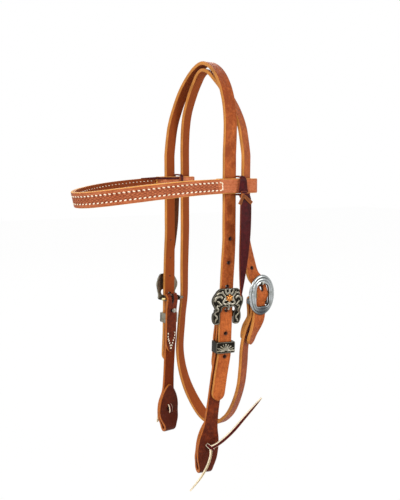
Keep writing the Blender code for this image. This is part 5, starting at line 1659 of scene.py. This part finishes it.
plateSet = {
    "width": 41 * mm,
    "lowerEdge": 10.2 * mm,
    "lobeDrop": 11.5 * mm,
    "sink": 1.6 * mm,
    "thickness": 2.2 * mm,
    "dome": 4.0 * mm,
    "legWidth": 4.2 * mm,
    "cell": 0.36 * mm,
    "relief": 0.9 * mm,
    "offWidth": 34 * mm,
    "offLobeDrop": 3 * mm,
    "barReach": 6 * mm,
    "nearSides": 0.35,  # how far the buffing wheel reached the plate's sides
    "offSides": 0.72,
    "outline": (
        (0.00, 1.00), (0.30, 0.995), (0.53, 0.99), (0.70, 0.93), (0.80, 0.86), (0.92, 0.76),
        (0.97, 0.68), (0.95, 0.58), (0.87, 0.50), (0.80, 0.42), (0.80, 0.37), (0.87, 0.30),
        (0.90, 0.22), (0.88, 0.12), (0.81, 0.04), (0.70, 0.00),
    ),
}


flowerSet = {
    "up": 20.2,  # in mm over the heel bar
    "petals": 6,
    "spread": 3.0 * mm,
    "petal": (1.4 * mm, 0.8 * mm, 1.4 * mm),
    "bead": (3.1 * mm, 2.2 * mm, 2.5 * mm),
    "beadProud": 0.6 * mm,
}


# leaves, petals and vines for the right half, in mm; the left half mirrors them
def plateRidges():
    right = [
        ([(16.8, 17.0), (15.9, 19.8), (13.2, 21.6), (10.6, 22.0), (9.0, 20.4)], 1.5),
        ([(14.6, 24.2), (12.2, 26.2), (9.8, 26.2)], 1.1),
        ([(0.0, 26.0), (0.2, 28.0), (0.0, 30.0)], 1.3),
        ([(3.4, 25.2), (4.8, 27.6), (5.2, 29.4)], 1.3),
        ([(5.6, 22.8), (7.6, 25.0), (8.6, 27.4)], 1.2),
        ([(4.8, 20.0), (6.2, 17.4), (7.4, 14.8), (4.8, 13.2), (0.3, 13.8)], 1.3),
        ([(9.4, 12.4), (11.6, 14.4), (13.4, 16.2)], 1.2),
        ([(11.6, 11.2), (13.6, 11.0), (14.4, 9.0), (13.0, 7.0), (12.6, 4.6)], 1.1),
        ([(12.6, 4.6), (14.6, 3.4), (15.4, 1.2), (14.0, -0.8), (12.4, -2.2)], 1.1),
        ([(12.4, -2.2), (12.2, -4.6), (13.8, -6.2), (14.2, -8.0)], 1.1),
    ]
    # short rays round the flower
    for i in range(4):
        a = math.pi * (0.10 + 0.27 * i) - math.pi / 2
        right.append((
            [
                (far * math.cos(turn), flowerSet["up"] + far * math.sin(turn))
                for far, turn in ((4.6, a - 0.2), (6.3, a))
            ],
            0.8,
        ))
    mirrored = [([(-x, y) for x, y in points], width) for points, width in right]
    return right + mirrored


def buildBuckle(name, side, width, lobeDrop, backRelief, barReach=0):
    height = sizes["plateTop"] + plateSet["lobeDrop"]
    outer = [(x * width / 2, y * height - plateSet["lobeDrop"]) for x, y in plateSet["outline"]]
    outer = [(x, y if y > 0 else y * lobeDrop / plateSet["lobeDrop"]) for x, y in outer]
    innerX = sizes["strapWidth"] / 2 + sizes["play"]
    low, arch = plateSet["lowerEdge"], plateSet["lowerEdge"] * 0.3
    inner = [(innerX + sizes["play"], -lobeDrop * 0.93), (innerX, -lobeDrop * 0.7)]
    inner += [(innerX, low - arch * 2.2), (innerX, low - arch), (innerX * 0.93, low - arch * 0.4)]
    inner += [(innerX * 0.6, low), (innerX * 0.3, low - arch * 0.3), (0, low - arch * 0.5)]
    right = outer + inner
    outline = right + [(-x, y) for x, y in reversed(right[1:-1])]
    thickness = plateSet["thickness"]
    back = sizes["crownThickness"] / 2 + sizes["fit"] + thickness / 2
    legTop = low - arch

    def shape(across, along, out):
        dome = plateSet["dome"] * (1 - (2 * across / width) ** 2)
        down = eased((legTop - along) / legTop)
        return Vector((across, -(out + back + dome * (1 - down) - plateSet["sink"] * down), along))

    work = reliefPlate(
        outline, plateSet["cell"], thickness - plateSet["relief"] * 0.4, plateRidges(), 1.5 * mm,
        0.62, plateSet["relief"], shape, backRelief,
    )
    takeIn(work, ears(cheekBar, plateSet["sink"] - back, innerX, plateSet["legWidth"]))
    barLength = 2 * innerX + plateSet["legWidth"] / 2
    takeIn(work, roundBar(sizes["barRadius"], barLength, Vector((0, cheekBar, 0))))
    work.transform(side)
    finishes = (castSilver, castBack)
    addCasting(name + "CheekBuckle", work, finishes, "headstall", [name + "_cheek_buckle"])

    # the off bar's ends stand out past the ears, the front one with its plating gone
    barEnds = (("Front", 1, barBrass, 0.8), ("Rear", -1, castSilver, 0.5)) if barReach else ()
    for label, towards, finish, relief in barEnds:
        out = innerX + plateSet["legWidth"] * 0.5 + barReach / 2
        end = roundBar(sizes["barRadius"] * 1.15, barReach, Vector((towards * out, cheekBar, 0)))
        markRelief(end, relief)
        end.transform(side)
        addCasting(name + label + "BarEnd", end, (finish,), "headstall")

    # a copper flower with a polished bead, riveted to the plate
    flower = bmesh.new()
    surface = sizes["crownThickness"] / 2 + sizes["fit"] + thickness + plateSet["dome"]
    middle = Vector((0, -surface, flowerSet["up"] * mm))
    spread, balls = flowerSet["spread"], []
    for i in range(flowerSet["petals"]):
        a = 2 * math.pi * i / flowerSet["petals"]
        spot = middle + Vector((spread * math.sin(a), -0.2 * mm, spread * math.cos(a)))
        balls.append((12, 8, spot, flowerSet["petal"]))
    balls.append((20, 12, middle - yAxis * flowerSet["beadProud"], flowerSet["bead"]))
    for segments, rings, spot, radii in balls:
        bmesh.ops.create_uvsphere(
            flower, u_segments=segments, v_segments=rings, radius=1.0,
            matrix=Matrix.Translation(spot) @ Matrix.Diagonal((*radii, 1)),
        )
    layer = flower.verts.layers.float.new("relief")
    for vert in flower.verts:
        vert[layer] = min(1.0, max(0.0, (middle.y - vert.co.y) / (1.0 * mm)))
    flower.transform(side)
    bead = meshObject(name + "BuckleFlower", flower)
    bead.data.shade_smooth()
    bead.data.materials.append(flowerCopper)
    addPiece(bead, "headstall", [name + "_buckle_flower"])


buildBuckle("near", nearSide, plateSet["width"], plateSet["lobeDrop"], plateSet["nearSides"])
buildBuckle(
    "off", offSide, plateSet["offWidth"], plateSet["offLobeDrop"], plateSet["offSides"],
    plateSet["barReach"],
)
print("cheek buckles done")


# Keepers

keeperSet = {
    "height": 13 * mm,
    "cell": 0.3 * mm,
    "relief": 0.8 * mm,
    # the near one is drawn out towards the nose; polish is what its loop has had
    "near": {
        "drop": 38.8 * mm, "nose": 1.5 * mm, "polish": 0.18, "wall": 2.6 * mm,
        "frontWall": 3.2 * mm, "corner": 1.3 * mm,
    },
    "off": {
        "drop": 26.9 * mm, "nose": 0.0, "polish": 0.75, "wall": 1.4 * mm,
        "frontWall": 2.2 * mm, "corner": 2.4 * mm,
    },
}


def keeperRidges():
    fan = []
    for i in range(9):
        a = math.radians(-74 + 18.5 * i)
        reach = 10.2 if abs(a) > 0.8 else 8.2
        bend = 0.22 * math.copysign(min(1.0, abs(a)), a)
        petal = []
        for part in (0.22, 0.5, 0.78, 1.0):
            far, turn = part * reach, a + bend * part
            petal.append((far * math.sin(turn), far * math.cos(turn) - 4.4))
        fan.append((petal, 0.95 if i % 2 == 0 else 0.6))
    for way in (-1, 1):
        fan.append(([(9.8 * way, -4.4), (7.4 * way, -3.6), (5.4 * way, -4.4)], 0.7))
    return fan


def buildKeeper(name, side, drop, nose, polish, wall, frontWall, corner):
    innerX = sizes["strapWidth"] / 2 + sizes["play"]
    front = -sizes["crownThickness"] / 2 - sizes["play"]
    back = cheekOuter + halfCheek + sizes["fit"]
    tall = keeperSet["height"]

    # the loop: a rounded box band, bevelled all round
    def ringOf(work, *box):
        verts = [work.verts.new((x, y, 0)) for x, y in roundedBox(*box, 5)]
        return [work.edges.new(pair) for pair in zip(verts, verts[1:] + verts[:1])]

    work = bmesh.new()
    loops = ringOf(work, innerX, front, back, 0.6 * mm)
    loops += ringOf(
        work, innerX + wall, front - frontWall * 0.72, back + sizes["keeperBack"], corner
    )
    for vert in work.verts:
        if vert.co.x < -innerX - 0.2 * mm:
            vert.co.x -= nose
    bmesh.ops.bridge_loops(work, edges=loops)
    grown = bmesh.ops.extrude_face_region(work, geom=work.faces[:], use_keep_orig=True)
    lifted = [item for item in grown["geom"] if isinstance(item, bmesh.types.BMVert)]
    bmesh.ops.translate(work, verts=lifted, vec=(0, 0, tall))
    bmesh.ops.translate(work, verts=work.verts, vec=(0, 0, -tall / 2))
    bmesh.ops.recalc_face_normals(work, faces=work.faces)
    rims = [edge for edge in work.edges if edge.calc_face_angle(0) > 1]
    roundEdges(work, rims, 0.3 * mm)
    markRelief(work, polish)

    # the engraved face
    halfX, halfZ = innerX + wall, tall / 2
    outline = roundedBox(halfX, -halfZ, halfZ, 0.8 * mm, 3)
    base = -front + frontWall * 0.62

    def shape(across, along, out):
        crowned = 0.5 * mm * (1 - (across / halfX) ** 2)
        drawn = nose * 0.5 * (1 - across / halfX)
        return Vector((across - drawn, -(base + out + crowned), along))

    face = reliefPlate(
        outline, keeperSet["cell"], 0.7 * mm, keeperRidges(), 1.0 * mm, 0.8,
        keeperSet["relief"], shape, 0.35,
    )
    takeIn(work, face)
    work.transform(side @ Matrix.Translation((0, 0, -drop)))
    finishes = (castSilver, castBack)
    addCasting(name + "CheekKeeper", work, finishes, name + "_keeper", [name + "_cheek_keeper"])


for name, side in (("near", nearSide), ("off", offSide)):
    buildKeeper(name, side, **keeperSet[name])
print("keepers done")


# Oval throat buckle

ringSet = {
    "width": 37.5 * mm,
    "windowWidth": 18.8 * mm,
    "thickness": 2.0 * mm,
    "shift": 1.3 * mm,
    "ear": 2.4 * mm,
    "sides": 96,
    # share of the way from the outer edge to the window, height over the back, buffed or not
    "profile": (
        (0.00, 0.25, 0.5), (0.02, 0.75, 0.9), (0.07, 1.35, 1.0), (0.16, 1.75, 1.0),
        (0.27, 1.85, 0.9), (0.31, 1.72, 0.35), (0.335, 1.72, 0.2), (0.36, 2.30, 0.8),
        (0.42, 2.72, 1.0), (0.56, 2.85, 1.0), (0.66, 2.72, 0.7), (0.69, 2.62, 0.4),
        (0.72, 2.72, 0.8), (0.82, 3.15, 1.0), (0.93, 3.2, 1.0), (0.985, 2.9, 0.9),
        (1.00, 2.3, 0.5), (1.00, 0.0, 0.2),
    ),
}


# the window's edge in a direction from the ring's middle: square below, rounded above
def windowPoint(a):
    halfX, halfZ = ringSet["windowWidth"] / 2, sizes["windowHeight"] / 2
    dx, dz = math.sin(a), math.cos(a)
    power = 3.2 if dz > 0 else 7.0
    reach = (abs(dx / halfX) ** power + abs(dz / halfZ) ** power) ** (-1 / power)
    return dx * reach, dz * reach


def buildRing():
    work = bmesh.new()
    layer = work.verts.layers.float.new("relief")
    sides = ringSet["sides"]
    made = bmesh.ops.create_circle(work, segments=sides, radius=1.0, cap_ends=False)
    loop = made["verts"]
    back = halfThroat + sizes["fit"]
    edges = list(work.edges)
    rows = []
    # each row of the profile is one more extrusion of the outer edge
    for index, row in enumerate(ringSet["profile"]):
        if index:
            grown = bmesh.ops.extrude_edge_only(work, edges=edges)
            loop = [item for item in grown["geom"] if isinstance(item, bmesh.types.BMVert)]
            edges = [item for item in grown["geom"] if isinstance(item, bmesh.types.BMEdge)]
        rows.append((row, loop, [math.atan2(vert.co.x, vert.co.y) for vert in loop]))
    for (share, height, buffed), verts, turns in rows:
        for vert, a in zip(verts, turns):
            outerX = ringSet["width"] / 2 * math.sin(a)
            outerZ = sizes["ringHeight"] / 2 * math.cos(a)
            innerX, innerZ = windowPoint(math.atan2(outerX, outerZ))
            x, z = outerX + (innerX - outerX) * share, outerZ + (innerZ - outerZ) * share
            vert.co = (x + ringSet["shift"], -(back + height * mm), z + sizes["ringUp"])
            # painted reflection: lighter at the sides and darker at the bottom by angle round the
            # ring, over the buffing of each step
            low = max(0.0, -math.cos(a)) ** 2
            vert[layer] = buffed * (0.62 + 0.38 * math.sin(a) ** 2 - 0.34 * low)
    # close the back
    ends = [edge for edge in work.edges if edge.is_boundary]
    bmesh.ops.bridge_loops(work, edges=ends)
    bmesh.ops.recalc_face_normals(work, faces=work.faces)
    innerX = sizes["strapWidth"] / 2 + sizes["play"]
    takeIn(work, ears(throatBar, -back - ringSet["thickness"] * 0.7, innerX, ringSet["ear"]))
    barLength = 2 * innerX + ringSet["ear"] / 2
    takeIn(work, roundBar(sizes["barRadius"], barLength, Vector((0, throatBar, 0))))
    work.transform(ringSide)
    addCasting("throatBuckle", work, (ringSilver,), "headstall", ["throat_buckle"], 50)


buildRing()
print("throat buckle done")


# Tongues and rivets keep their solids, with plated steel on them
for nodeName in (
    "near_cheek_tongue", "off_cheek_tongue", "throat_tongue", "near_chape_rivet", "off_chape_rivet"
):
    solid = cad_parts[nodeName]
    for slotIndex in range(len(solid.material_slots)):
        solid.material_slots[slotIndex].material = bareNickel
    if not solid.material_slots:
        solid.data.materials.append(bareNickel)
print("tongues and rivets done")
